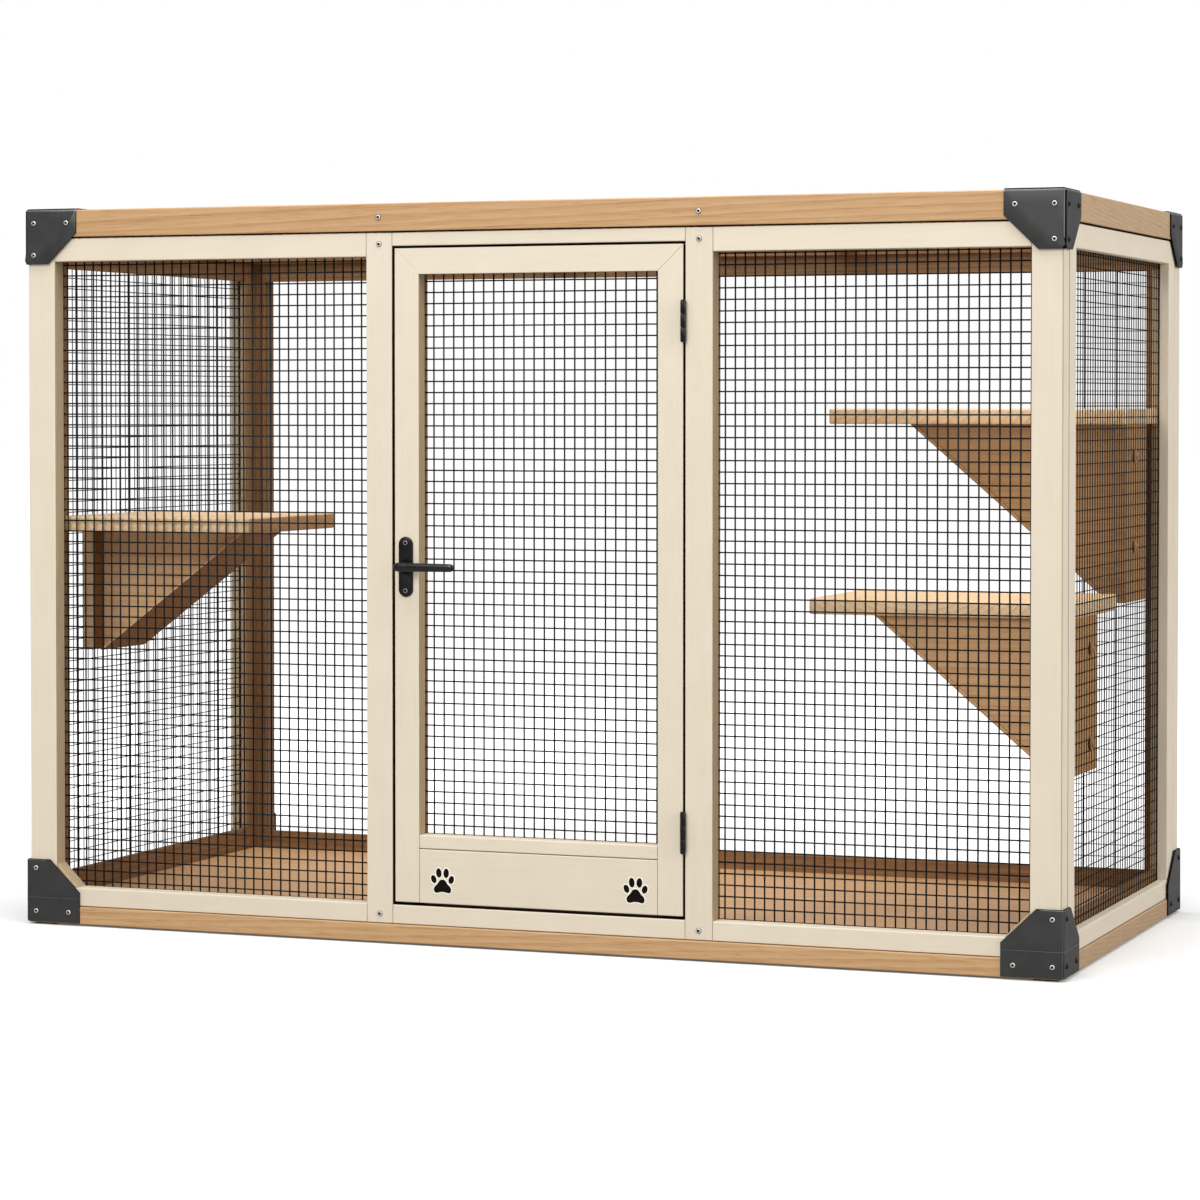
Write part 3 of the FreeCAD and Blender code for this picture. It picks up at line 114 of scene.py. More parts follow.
def timber_finish(name, dark, middle, light, ring_mm=7.0, contrast=0.36, roughness=0.5, specular=0.5,
                  lean=1.0):
    """Oiled softwood: wandering growth rings, fine dark pores along the grain and boards of differing tone.

    The rings and pores are drawn wider than they grow, so that they show at the picture's scale. A small
    lean draws the grain out along a board that is seen from near its end.
    """
    material, tree, shader = new_material(name, Roughness=roughness, IOR=1.48, Specular_IOR_Level=specular)
    grain = add(tree, "ShaderNodeAttribute", attribute_name="grain").outputs["Vector"]
    tone = add(tree, "ShaderNodeAttribute", attribute_name="tone").outputs["Fac"]
    # the rings run round an axis that leans a little in the board, which draws long tapering flames
    log = add(tree, "ShaderNodeMapping", {
        "Vector": grain, "Location": (0.0, 0.11, 0.08), "Rotation": (0.0, 0.012 * lean, 0.016 * lean),
        "Scale": (0.12 * lean, 1.0, 1.0)})
    rings = add(tree, "ShaderNodeTexWave", {
        "Vector": log.outputs["Vector"], "Scale": RING_WAVE / (ring_mm * MM), "Distortion": 3.5,
        "Detail": 2.0, "Detail Scale": 0.3, "Detail Roughness": 0.55},
        wave_type="RINGS", rings_direction="X", wave_profile="SAW")
    streaks_at = add(tree, "ShaderNodeMapping", {"Vector": grain, "Scale": mark_scale(110, 4.2)})
    streaks = add(tree, "ShaderNodeTexNoise", {
        "Vector": streaks_at.outputs["Vector"], "Scale": 1.0, "Detail": 3.0, "Roughness": 0.6})
    pores_at = add(tree, "ShaderNodeMapping", {"Vector": grain, "Scale": mark_scale(50, 1.6)})
    pores = add(tree, "ShaderNodeTexNoise", {
        "Vector": pores_at.outputs["Vector"], "Scale": 1.0, "Detail": 2.0, "Roughness": 0.5})
    both = add(tree, "ShaderNodeMix", {0: 0.68, 2: rings.outputs["Fac"], 3: streaks.outputs["Fac"]},
               data_type="FLOAT")
    wood = add(tree, "ShaderNodeValToRGB", {"Fac": both.outputs[0]}, stops=(
        (0.5 - contrast, linear(dark)), (0.5 + contrast, linear(light)), (0.5, linear(middle))))
    pore_line = add(tree, "ShaderNodeMapRange", {
        "Value": pores.outputs["Fac"], "From Min": 0.56, "From Max": 0.72, "To Min": 0.0, "To Max": 0.30})
    pored = add(tree, "ShaderNodeMix", {
        0: pore_line.outputs["Result"], 6: wood.outputs["Color"], 7: linear(dark)},
        data_type="RGBA", blend_type="MULTIPLY")
    value = add(tree, "ShaderNodeMapRange", {
        "Value": tone, "From Min": -1.0, "From Max": 1.0, "To Min": 0.93, "To Max": 1.07})
    toned = add(tree, "ShaderNodeHueSaturation", {
        "Color": pored.outputs[2], "Value": value.outputs["Result"]})
    tree.links.new(toned.outputs["Color"], shader.inputs["Base Color"])
    relief = add(tree, "ShaderNodeBump", {
        "Height": pores.outputs["Fac"], "Strength": 0.25, "Distance": 0.25 * MM})
    tree.links.new(relief.outputs["Normal"], shader.inputs["Normal"])
    return material


def satin_paint(name, dark, light):
    """Satin wall paint brushed on planed softwood: an even coat with faint brush lines along each board.

    The lines are drawn wider than a brush leaves them, so that they show.
    """
    material, tree, shader = new_material(name, IOR=1.5)
    grain = add(tree, "ShaderNodeAttribute", attribute_name="grain").outputs["Vector"]
    tone = add(tree, "ShaderNodeAttribute", attribute_name="tone").outputs["Fac"]
    brush_at = add(tree, "ShaderNodeMapping", {"Vector": grain, "Scale": mark_scale(160, 3.5)})
    brush = add(tree, "ShaderNodeTexNoise", {
        "Vector": brush_at.outputs["Vector"], "Scale": 1.0, "Detail": 3.0, "Roughness": 0.6})
    cloud = add(tree, "ShaderNodeTexNoise", {
        "Vector": grain, "Scale": 1 / (90 * MM), "Detail": 3.0, "Roughness": 0.55})
    both = add(tree, "ShaderNodeMix", {0: 0.45, 2: brush.outputs["Fac"], 3: cloud.outputs["Fac"]},
               data_type="FLOAT")
    paint = add(tree, "ShaderNodeValToRGB", {"Fac": both.outputs[0]}, stops=(
        (0.30, linear(dark)), (0.70, linear(light))))
    value = add(tree, "ShaderNodeMapRange", {
        "Value": tone, "From Min": -1.0, "From Max": 1.0, "To Min": 0.985, "To Max": 1.015})
    toned = add(tree, "ShaderNodeHueSaturation", {
        "Color": paint.outputs["Color"], "Value": value.outputs["Result"]})
    tree.links.new(toned.outputs["Color"], shader.inputs["Base Color"])
    gloss = add(tree, "ShaderNodeMapRange", {
        "Value": brush.outputs["Fac"], "From Min": 0.3, "From Max": 0.7, "To Min": 0.42, "To Max": 0.54})
    tree.links.new(gloss.outputs["Result"], shader.inputs["Roughness"])
    relief = add(tree, "ShaderNodeBump", {
        "Height": brush.outputs["Fac"], "Strength": 0.2, "Distance": 0.2 * MM})
    tree.links.new(relief.outputs["Normal"], shader.inputs["Normal"])
    return material


def coated_steel(name, dark, light, roughness, grit_mm, depth_mm, specular=0.5):
    """Powder coated steel: one colour that clouds slightly, with the fine orange peel of the coat.

    The peel is drawn coarser than it is, so that it shows.
    """
    material, tree, shader = new_material(name, IOR=1.5, Specular_IOR_Level=specular)
    place = add(tree, "ShaderNodeTexCoord").outputs["Object"]
    peel = add(tree, "ShaderNodeTexNoise", {"Vector": place, "Scale": 1 / (grit_mm * MM), "Detail": 2.0})
    cloud = add(tree, "ShaderNodeTexNoise", {
        "Vector": place, "Scale": 1 / (30 * MM), "Detail": 4.0, "Roughness": 0.6})
    coat = add(tree, "ShaderNodeValToRGB", {"Fac": cloud.outputs["Fac"]}, stops=(
        (0.3, linear(dark)), (0.7, linear(light))))
    tree.links.new(coat.outputs["Color"], shader.inputs["Base Color"])
    gloss = add(tree, "ShaderNodeMapRange", {
        "Value": cloud.outputs["Fac"], "From Min": 0.3, "From Max": 0.7, "To Min": roughness - 0.05,
        "To Max": roughness + 0.05})
    tree.links.new(gloss.outputs["Result"], shader.inputs["Roughness"])
    relief = add(tree, "ShaderNodeBump", {
        "Height": peel.outputs["Fac"], "Strength": 0.3, "Distance": depth_mm * MM})
    tree.links.new(relief.outputs["Normal"], shader.inputs["Normal"])
    return material


def zinc_steel():
    """Bright zinc plated steel: a partly metallic coat with slightly mottled gloss, its near-white colour
    partly a painted sheen.
    """
    material, tree, shader = new_material("zinc_plated_steel", Metallic=0.4)
    place = add(tree, "ShaderNodeTexCoord").outputs["Object"]
    mottle = add(tree, "ShaderNodeTexNoise", {"Vector": place, "Scale": 1 / (2 * MM), "Detail": 3.0})
    plate = add(tree, "ShaderNodeValToRGB", {"Fac": mottle.outputs["Fac"]}, stops=(
        (0.3, linear("#DAD8D2")), (0.7, linear("#F6F4F0"))))
    tree.links.new(plate.outputs["Color"], shader.inputs["Base Color"])
    gloss = add(tree, "ShaderNodeMapRange", {"Value": mottle.outputs["Fac"], "To Min": 0.2, "To Max": 0.4})
    tree.links.new(gloss.outputs["Result"], shader.inputs["Roughness"])
    return material


def moulded_plastic():
    """Moulded polypropylene: dull black with a fine spark-eroded texture, drawn coarser so that it shows."""
    material, tree, shader = new_material("moulded_polypropylene", Roughness=0.6, IOR=1.49)
    place = add(tree, "ShaderNodeTexCoord").outputs["Object"]
    spark = add(tree, "ShaderNodeTexNoise", {"Vector": place, "Scale": 1 / (0.8 * MM), "Detail": 2.0})
    shade = add(tree, "ShaderNodeValToRGB", {"Fac": spark.outputs["Fac"]}, stops=(
        (0.3, linear("#141414")), (0.7, linear("#242424"))))
    tree.links.new(shade.outputs["Color"], shader.inputs["Base Color"])
    relief = add(tree, "ShaderNodeBump", {
        "Height": spark.outputs["Fac"], "Strength": 0.3, "Distance": 0.1 * MM})
    tree.links.new(relief.outputs["Normal"], shader.inputs["Normal"])
    return material


CREAM = satin_paint("satin_cream_paint_on_pine", "#E1D4BD", "#E8DCC8")
# the white of the rim round the paw prints is a painted highlight
HIGHLIGHT_RIM = satin_paint("satin_white_rim_paint", "#F6EEDF", "#FCF7EC")
# tan with grain: painted shade in the reveals, under the rails, on the corner blocks and on the battens'
# fronts
TAN_PAINTED_SHADE = timber_finish("thinly_painted_reveals", "#A8926F", "#BBA685", "#C8B495")
SIDE_BEAM = timber_finish("oiled_pine_side_beams", "#AB8963", "#C0A07C", "#CAAC8A", 5.0, 0.4, lean=0.2)
TOP_BEAM = timber_finish("oiled_pine_top_beam", "#A87B4C", "#BF9669", "#CAA67C")
BEAM = timber_finish("oiled_pine_beams", "#B08252", "#C89F71", "#D3AF84")
# bare timber inside, darker than the beams as painted shade
INSIDE = timber_finish("oiled_pine_inside", "#6E4A29", "#8A6641", "#9C7650", roughness=0.55)
# pale pine, lightened further as painted light in the dim inside
SHELF = timber_finish("oiled_pine_shelves", "#D8AE7E", "#EFCDA2", "#F6D9B2", 9.0)
# end grain, darkened as painted shade on the left shelf's end that looks away from the light
SHADED_END_GRAIN = timber_finish("oiled_pine_end_grain", "#A0764A", "#C3976A", "#D0A77B", 4.0, roughness=0.6)
# the wedges are one oiled pine in three tones, lighter or darker as painted light and shade
LEFT_WEDGE = timber_finish("oiled_pine_left_wedge", "#D6AC7C", "#EEC99C", "#F5D5AC", 9.0, 0.48, 0.55)
UPPER_WEDGE = timber_finish("oiled_pine_upper_wedge", "#8A653F", "#A27B50", "#AE895E", 9.0, 0.48, 0.55)
LOWER_WEDGE = timber_finish("oiled_pine_lower_wedge", "#B08455", "#CCA172", "#D9B184", 9.0, 0.48, 0.55)
# slopes and ends darker as painted shade
SLOPE = timber_finish("dark_oiled_pine_slopes", "#6A4A28", "#886238", "#987245", 9.0, 0.44, 0.6)
WALL = timber_finish("oiled_pine_wedge_walls", "#9C7044", "#C08F5A", "#CFA06C", 9.0, 0.44, 0.6)
FLOOR = timber_finish("oiled_plywood_floor", "#B98D5E", "#D2A677", "#DCB488", 12.0, roughness=0.45)
INLAY = timber_finish("stained_dark_inlay", "#080503", "#120B06", "#1C120B", 6.0, 0.32, 0.7, 0.1)
# dark painted shade in the door gap, the corner seams, the stops' fronts and under the top beams
SHADE = timber_finish("dark_stained_stops", "#2C2016", "#38291C", "#433324", roughness=0.7, specular=0.1)
WIRE = coated_steel("black_coated_mesh_wire", "#080808", "#111111", 0.6, 1.5, 0.05, 0.25)
BRACKET = coated_steel("grey_powder_coated_steel", "#272727", "#2F2F2F", 0.42, 0.9, 0.12, 0.55)
# painted highlight lines and black painted shade on the brackets' bends, groove and edges
HIGHLIGHT_GREY = coated_steel("rubbed_grey_steel", "#626262", "#707070", 0.4, 0.9, 0.05, 0.5)
EDGE_SHADE_BLACK = coated_steel("black_cut_steel_edge", "#050505", "#0B0B0B", 0.7, 0.9, 0.05, 0.05)
LEVER = coated_steel("satin_black_lever", "#080808", "#101010", 0.2, 1.2, 0.03, 0.6)
# the door's black oxide screws are mid grey as painted highlight
GREY_HIGHLIT_SCREW = coated_steel("black_oxide_screws", "#6C6C6C", "#8C8C8C", 0.3, 1.2, 0.03, 0.7)
HARDWARE = coated_steel("black_powder_coated_steel", "#070707", "#101010", 0.28, 1.2, 0.05, 0.35)
BOLT = coated_steel("brown_powder_coated_steel", "#7E5C3A", "#946F49", 0.6, 1.2, 0.06)
ZINC = zinc_steel()
# painted shade in the screws' sockets and round their washers
SCREW_SHADE = coated_steel("screw_recess_shadow", "#050505", "#0C0C0C", 0.7, 1.0, 0.05, 0.2)
PAD = moulded_plastic()


# Solids of the frame, joined from loose triangles


def solids_of(node):
    """The closed solids in a CAD node, each as a bmesh of whole flat faces."""
    mesh = frame["nodes"][node].data
    # corners are matched on a grid of a thousandth of a millimetre
    keys = [tuple(round(c * 1e6) for c in vertex.co) for vertex in mesh.vertices]
    triangles = [tuple(keys[i] for i in face.vertices) for face in mesh.polygons]
    triangles = [corners for corners in triangles if len(set(corners)) == 3]
    owners = {}
    for number, corners in enumerate(triangles):
        for i in range(3):
            owners.setdefault(frozenset((corners[i], corners[i - 1])), []).append(number)
    parent = list(range(len(triangles)))

    def root(number):
        while parent[number] != number:
            parent[number] = parent[parent[number]]
            number = parent[number]
        return number

    # an edge where two solids touch has four owners and joins nothing
    for sharing in owners.values():
        if len(sharing) == 2:
            parent[root(sharing[0])] = root(sharing[1])
    groups = {}
    for number, corners in enumerate(triangles):
        groups.setdefault(root(number), []).append(corners)
    made = []
    for members in groups.values():
        shape = bmesh.new()
        spots = {}
        for corners in members:
            for key in corners:
                if key not in spots:
                    spots[key] = shape.verts.new([c * 1e-6 for c in key])
            shape.faces.new([spots[key] for key in corners])
        bmesh.ops.dissolve_limit(shape, angle_limit=math.radians(1.0), verts=shape.verts[:],
                                 edges=shape.edges[:])
        shape.normal_update()
        made.append(shape)
    return made


def soften(shape, width, segments=2, shortest=6 * MM):
    """Round the outer edges of a shape, apart from short ones such as those of drilled holes."""
    edges = [edge for edge in shape.edges if edge.is_manifold and edge.is_convex
             and edge.calc_face_angle(0.0) > SHARP_EDGE and edge.calc_length() > shortest]
    bmesh.ops.bevel(shape, geom=edges, offset=width, offset_type="OFFSET", segments=segments, profile=0.5,
                    affect="EDGES", clamp_overlap=True)
    shape.normal_update()


class Heap:
    """Vertices and faces of one piece, with the grain and tone of each board in it."""

    def __init__(self):
        self.points = []
        self.faces = []
        self.finish = []
        self.grain = []
        self.tone = []

    def take(self, shape, finish_of=None, along=ALONG_X):
        """Add a shape. finish_of gives a face's material number from its centre and normal."""
        side = along.cross(Vector((0, 0, 1)) if abs(along.z) < 0.7 else ALONG_X).normalized()
        third = along.cross(side)
        offset = Vector([chance.uniform(-span, span) for span in GRAIN_SHIFT])
        tone = chance.uniform(-1, 1)
        middle = sum((vertex.co for vertex in shape.verts), Vector()) / len(shape.verts)
        first = len(self.points)
        shape.verts.index_update()
        for vertex in shape.verts:
            here = vertex.co - middle
            self.points.append(vertex.co.copy())
            self.grain.append(Vector((here.dot(along), here.dot(side), here.dot(third))) + offset)
            self.tone.append(tone)
        for face in shape.faces:
            self.faces.append([first + vertex.index for vertex in face.verts])
            self.finish.append(finish_of(face.calc_center_median(), face.normal) if finish_of else 0)
        shape.free()

    def mesh(self, name, materials, smooth=None):
        """The heap as a mesh; smooth is the angle in degrees below which edges are shaded round."""
        mesh = bpy.data.meshes.new(name)
        mesh.from_pydata(self.points, [], self.faces)
        for material in materials:
            mesh.materials.append(material)
        mesh.polygons.foreach_set("material_index", self.finish)
        mesh.attributes.new("grain", "FLOAT_VECTOR", "POINT").data.foreach_set(
            "vector", [c for point in self.grain for c in point])
        mesh.attributes.new("tone", "FLOAT", "POINT").data.foreach_set("value", self.tone)
        if smooth is not None:
            mesh.polygons.foreach_set("use_smooth", [True] * len(mesh.polygons))
            mesh.set_sharp_from_angle(angle=math.radians(smooth))
        mesh.update()
        return mesh


def body_of(node):
    """The body that a CAD node belongs to."""
    return next(body for body, nodes in frame["record"]["behaviour"]["bodies"].items() if node in nodes)


def settle(name, mesh, *nodes):
    """Make a mesh a piece that stands for CAD nodes, on their body."""
    piece = bpy.data.objects.new(name, mesh)
    bpy.context.scene.collection.objects.link(piece)
    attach(piece, body_of(nodes[0]))
    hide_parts(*nodes)


def longest_edge(shape):
    """The direction of a shape's longest edge, which is how its grain runs."""
    edge = max(shape.edges, key=lambda item: item.calc_length())
    return (edge.verts[1].co - edge.verts[0].co).normalized()


TOP_SEAM = 2.4 * MM
LOW_SEAM = 1.0 * MM
CORNER_SEAM = 2.5 * MM
FRAME_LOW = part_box("front_left_stile")[0].z
FRAME_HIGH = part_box("front_left_stile")[1].z
SIDE_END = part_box("right_side_frame")[1].y


def open_seams(shape, corners):
    """Draw a frame's boards back from the beams, and a side frame's from its neighbours, at the joints."""
    for vertex in shape.verts:
        if vertex.co.z > FRAME_HIGH - NEAR:
            vertex.co.z -= TOP_SEAM
        if vertex.co.z < FRAME_LOW + NEAR:
            vertex.co.z += LOW_SEAM
        if corners and abs(vertex.co.y) > SIDE_END - NEAR:
            vertex.co.y -= math.copysign(CORNER_SEAM, vertex.co.y)


def timber(node, materials, softness_mm, finish_of=None, seams=False, along=None):
    """Every board in a node with eased edges, grain along its length or as given, and a tone of its own."""
    heap = Heap()
    for shape in solids_of(node):
        grain = along or longest_edge(shape)
        if seams:
            open_seams(shape, "side_frame" in node)
        soften(shape, softness_mm * MM)
        heap.take(shape, finish_of, grain)
    settle(f"{node}_timber", heap.mesh(f"{node}_timber", materials), node)


# Painted frames: cream outside, painted shade in the reveals, bare timber from the mesh inwards whose darker
# colour is partly painted shade

PAINT_SOFTNESS_MM = 1.6
BATTEN_SOFTNESS_MM = 0.8
BEAM_SOFTNESS_MM = 2.0
WEDGE_SOFTNESS_MM = 1.5
FLOOR_SOFTNESS_MM = 1.0
PAINT, BARE, PAINTED_SHADE, GAP_SHADE, HIGHLIGHT_BEAD = range(5)
FRAME_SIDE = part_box("front_right_stile")[1].x - PAINT_SOFTNESS_MM * MM
BEHIND = 0.5 * MM      # a face this far behind the mesh is an inner one
OPENING_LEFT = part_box("latch_jamb")[1].x
OPENING_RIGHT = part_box("hinge_jamb")[0].x
DOOR_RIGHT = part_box("door_hinge_stile")[1].x
HEADER_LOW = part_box("door_header")[0].z
SILL_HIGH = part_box("door_sill")[1].z
FRONT_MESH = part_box("front_left_mesh")[0].y
DOOR_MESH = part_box("door_mesh")[0].y
RIGHT_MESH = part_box("right_side_mesh")[1].x


def in_door_gap(centre, normal):
    """Whether a face lies in the narrow gap round the door."""
    if abs(normal.x) > LOOKS_ALONG:
        return min(abs(centre.x - place) for place in (OPENING_LEFT, OPENING_RIGHT, DOOR_RIGHT)) < NEAR
    if abs(normal.z) > LOOKS_ALONG and OPENING_LEFT < centre.x < OPENING_RIGHT:
        return min(abs(centre.z - place) for place in (HEADER_LOW, SILL_HIGH)) < NEAR
    return False


def front_finish(mesh_y):
    """A face rule for the front: paint, bare timber behind the mesh, painted shade in the reveals and in the
    door gap.
    """
    def rule(centre, normal):
        # the eased edge at the right front corner gets painted shade
        if centre.x > FRAME_SIDE and normal.x > LEANS_TO and normal.y < -LEANS_TO:
            return PAINTED_SHADE
        if abs(centre.x) > FRAME_SIDE:
            return PAINT
        if in_door_gap(centre, normal):
            return GAP_SHADE
        if centre.y > mesh_y + BEHIND:
            return BARE
        return PAINTED_SHADE if abs(normal.x) > LOOKS_ALONG or normal.z < -LOOKS_ALONG else PAINT
    return rule


def back_finish(centre, normal):
    """A face rule for the back: paint only on faces that look outwards."""
    return PAINT if normal.y > LEANS_TO or abs(centre.x) > FRAME_SIDE else BARE


def left_finish(centre, normal):
    """A face rule for the left side: painted outside, painted shade in the reveals and at the ends, bare
    inside.
    """
    if abs(normal.y) > LOOKS_ALONG:
        return GAP_SHADE if abs(centre.y) > SIDE_END - 2 * CORNER_SEAM else PAINTED_SHADE
    outside = normal.x < -LEANS_TO or abs(centre.x) > FRAME_SIDE
    return PAINT if outside or abs(normal.z) > LOOKS_ALONG else BARE


def right_finish(centre, normal):
    """A face rule for the right side: painted as far in as the mesh, painted shade where it meets its
    neighbours.
    """
    if abs(normal.y) > LOOKS_ALONG and abs(centre.y) > SIDE_END - 2 * CORNER_SEAM:
        return GAP_SHADE
    inside = RIGHT_MESH - centre.x > BEHIND
    return BARE if inside and abs(centre.x) < FRAME_SIDE else PAINT


def block_finish(centre, normal):
    """A face rule for the corner blocks: painted shade all over."""
    return PAINTED_SHADE


FRONT_FINISH = front_finish(FRONT_MESH)
DOOR_FINISH = front_finish(DOOR_MESH)
PAINTED = {
    "front_left_stile": FRONT_FINISH,
    "front_right_stile": FRONT_FINISH,
    "latch_jamb": FRONT_FINISH,
    "hinge_jamb": FRONT_FINISH,
    "front_rails": FRONT_FINISH,
    "door_header": FRONT_FINISH,
    "door_sill": FRONT_FINISH,
    "back_frame": back_finish,
    "left_side_frame": left_finish,
    "right_side_frame": right_finish,
    "door_latch_stile": DOOR_FINISH,
    "door_hinge_stile": DOOR_FINISH,
    "door_top_rail": DOOR_FINISH,
    "door_middle_rail": DOOR_FINISH,
    "corner_blocks": block_finish,
}
for node, rule in PAINTED.items():
    timber(node, [CREAM, INSIDE, TAN_PAINTED_SHADE, SHADE], PAINT_SOFTNESS_MM, rule, seams=True)


def fronts(centre, normal):
    """A face rule: the second finish on faces that look to the front."""
    return 1 if normal.y < -0.5 else 0


def undersides(centre, normal):
    """A face rule: the second finish on faces that look down."""
    return 1 if normal.z < -LOOKS_ALONG else 0


for node in ("front_battens", "back_battens", "door_battens", "roof_ledgers"):
    timber(node, [INSIDE], BATTEN_SOFTNESS_MM)
# the side battens' fronts get the tan painted shade
timber("side_battens", [INSIDE, TAN_PAINTED_SHADE], BATTEN_SOFTNESS_MM, fronts)
# the stops get dark painted shade in front, where they close the gap round the door
timber("door_stops", [INSIDE, SHADE], BATTEN_SOFTNESS_MM, fronts)
for node in ("back_top_beam", "rafters", "front_base_beam", "back_base_beam", "floor_joists"):
    timber(node, [BEAM], BEAM_SOFTNESS_MM)
timber("side_base_beams", [SIDE_BEAM], BEAM_SOFTNESS_MM)
# the top beams get dark painted shade underneath, which darkens the seam under them
timber("front_top_beam", [TOP_BEAM, SHADE], BEAM_SOFTNESS_MM, undersides)
timber("side_top_beams", [SIDE_BEAM, SHADE], BEAM_SOFTNESS_MM, undersides)


STRAIGHT = 0.01        # a line that turns by less than this many radians runs on straight
SHELF_CORNER = 9 * MM
SHELF_EASE = 3.2 * MM
CORNER_STEPS = 6
EASE_STEPS = 4
CORNER_SHARE = 0.45    # a round corner takes up no more than this share of a side
END_FACE = 0.7         # from this cosine on, a face is part of a shelf's end


def outline_of(shape, direction):
    """The corners, in order, of the face of a shape that looks in a direction."""
    after = {}
    for face in shape.faces:
        if face.normal.dot(direction) < LOOKS_ALONG:
            continue
        for loop in face.loops:
            if loop.link_loop_radial_next.face.normal.dot(direction) < LOOKS_ALONG:
                after[loop.vert] = loop.link_loop_next.vert
    here = next(iter(after))
    points = []
    for _ in after:
        points.append(here.co.copy())
        here = after[here]
    count = len(points)
    return [points[i] for i in range(count)
            if (points[i] - points[i - 1]).angle(points[(i + 1) % count] - points[i]) > STRAIGHT]


def rounded(plan, radius):
    """A plan that runs against the clock with its outer corners rounded."""
    made = []
    count = len(plan)
    for i, corner in enumerate(plan):
        before, after = plan[i - 1] - corner, plan[(i + 1) % count] - corner
        reach = min(radius, CORNER_SHARE * before.length, CORNER_SHARE * after.length)
        if before.cross(after).z > 0:
            made.append(corner)
            continue
        start, end = corner + before.normalized() * reach, corner + after.normalized() * reach
        for step in range(CORNER_STEPS + 1):
            t = step / CORNER_STEPS
            made.append(start * (1 - t) ** 2 + corner * 2 * t * (1 - t) + end * t ** 2)
    return made


def shelf(node, materials, end_finish=0):
    """A shelf board with round corners and eased edges; end_finish is for its right end."""
    heap = Heap()
    for shape in solids_of(node):
        along = longest_edge(shape)
        plan = rounded(outline_of(shape, Vector((0, 0, 1))), SHELF_CORNER)
        low = min(vertex.co.z for vertex in shape.verts)
        high = max(vertex.co.z for vertex in shape.verts)
        shape.free()
        count = len(plan)
        inward = []
        for i in range(count):
            run = (plan[(i + 1) % count] - plan[i - 1]).normalized()
            inward.append(Vector((-run.y, run.x, 0)))
        board = bmesh.new()
        rings = []
        for step in range(EASE_STEPS + 1):
            turn = step / EASE_STEPS * math.pi / 2
            rings.append((SHELF_EASE * (1 - math.sin(turn)), low + SHELF_EASE * (1 - math.cos(turn))))
        rings += [(inset, low + high - z) for inset, z in reversed(rings)]
        loops = [[board.verts.new((point.x + move.x * inset, point.y + move.y * inset, z))
                  for point, move in zip(plan, inward)] for inset, z in rings]
        for below, above in zip(loops, loops[1:]):
            for i in range(count):
                board.faces.new((below[i], below[(i + 1) % count], above[(i + 1) % count], above[i]))
        board.faces.new(loops[0][::-1])
        board.faces.new(loops[-1])
        board.normal_update()
        heap.take(board, lambda centre, normal: end_finish if normal.x > END_FACE else 0, along)
    settle(f"{node}_timber", heap.mesh(f"{node}_timber", materials, PLATE_SMOOTH), node)


def wedge_finish(centre, normal):
    """A face rule for the wedges: painted shade on slopes and ends, and a lighter face against the right side
    mesh.
    """
    if normal.x > LOOKS_ALONG and centre.x > 0:
        return 2
    return 1 if normal.z < -LEANS_TO or abs(normal.x) > LOOKS_ALONG else 0


# the left shelf's right end gets the darker end grain as painted shade
shelf("left_shelf_board", [SHELF, SHADED_END_GRAIN], end_finish=1)
shelf("right_upper_shelf_board", [SHELF])
shelf("right_lower_shelf_board", [SHELF])
for node, finish in (("left_shelf_bracket", LEFT_WEDGE), ("right_upper_shelf_bracket", UPPER_WEDGE),
                     ("right_lower_shelf_bracket", LOWER_WEDGE)):
    timber(node, [finish, SLOPE, WALL], WEDGE_SOFTNESS_MM, wedge_finish, along=ALONG_X)
timber("floor_board", [FLOOR], FLOOR_SOFTNESS_MM)


# Kick panel, whose paw prints are sunk a little below its face inside a bead that is white as a painted
# highlight

PRINT_DEPTH = 0.9 * MM
# outwards from a print's outline and into the panel, in millimetres
RIM_SECTION = ((0.0, 0.8), (0.05, -0.1), (0.4, -0.4), (1.2, -0.4), (1.8, -0.1), (1.8, 0.5))


def print_rim(outline):
    """A bead round an outline in the XZ plane, its section given outwards from it and into the panel."""
    count = len(outline)
    turn = sum(outline[i - 1].x * outline[i].z - outline[i].x * outline[i - 1].z for i in range(count))
    shape = bmesh.new()
    rings = []
    for i, point in enumerate(outline):
        along = outline[(i + 1) % count] - outline[i - 1]
        out = Vector((along.z, 0, -along.x)).normalized() * (1 if turn > 0 else -1)
        rings.append([shape.verts.new(point + out * u * MM + Vector((0, v * MM, 0))) for u, v in RIM_SECTION])
    steps = len(RIM_SECTION)
    for i, ring in enumerate(rings):
        after = rings[(i + 1) % count]
        for k in range(steps):
            shape.faces.new((ring[k], after[k], after[(k + 1) % steps], ring[(k + 1) % steps]))
    bmesh.ops.recalc_face_normals(shape, faces=shape.faces[:])
    return shape


def kick_panel():
    """The door's lower panel with a bead round each print, white as a painted highlight."""
    heap = Heap()
    for shape in solids_of("door_kick_panel"):
        soften(shape, PAINT_SOFTNESS_MM * MM)
        heap.take(shape, DOOR_FINISH, ALONG_X)
    for shape in solids_of("paw_inlays"):
        heap.take(print_rim(outline_of(shape, Vector((0, -1, 0)))), lambda centre, normal: HIGHLIGHT_BEAD)
        shape.free()
    mesh = heap.mesh("door_kick_panel_timber", [CREAM, INSIDE, TAN_PAINTED_SHADE, SHADE, HIGHLIGHT_RIM])
    settle("door_kick_panel_timber", mesh, "door_kick_panel")


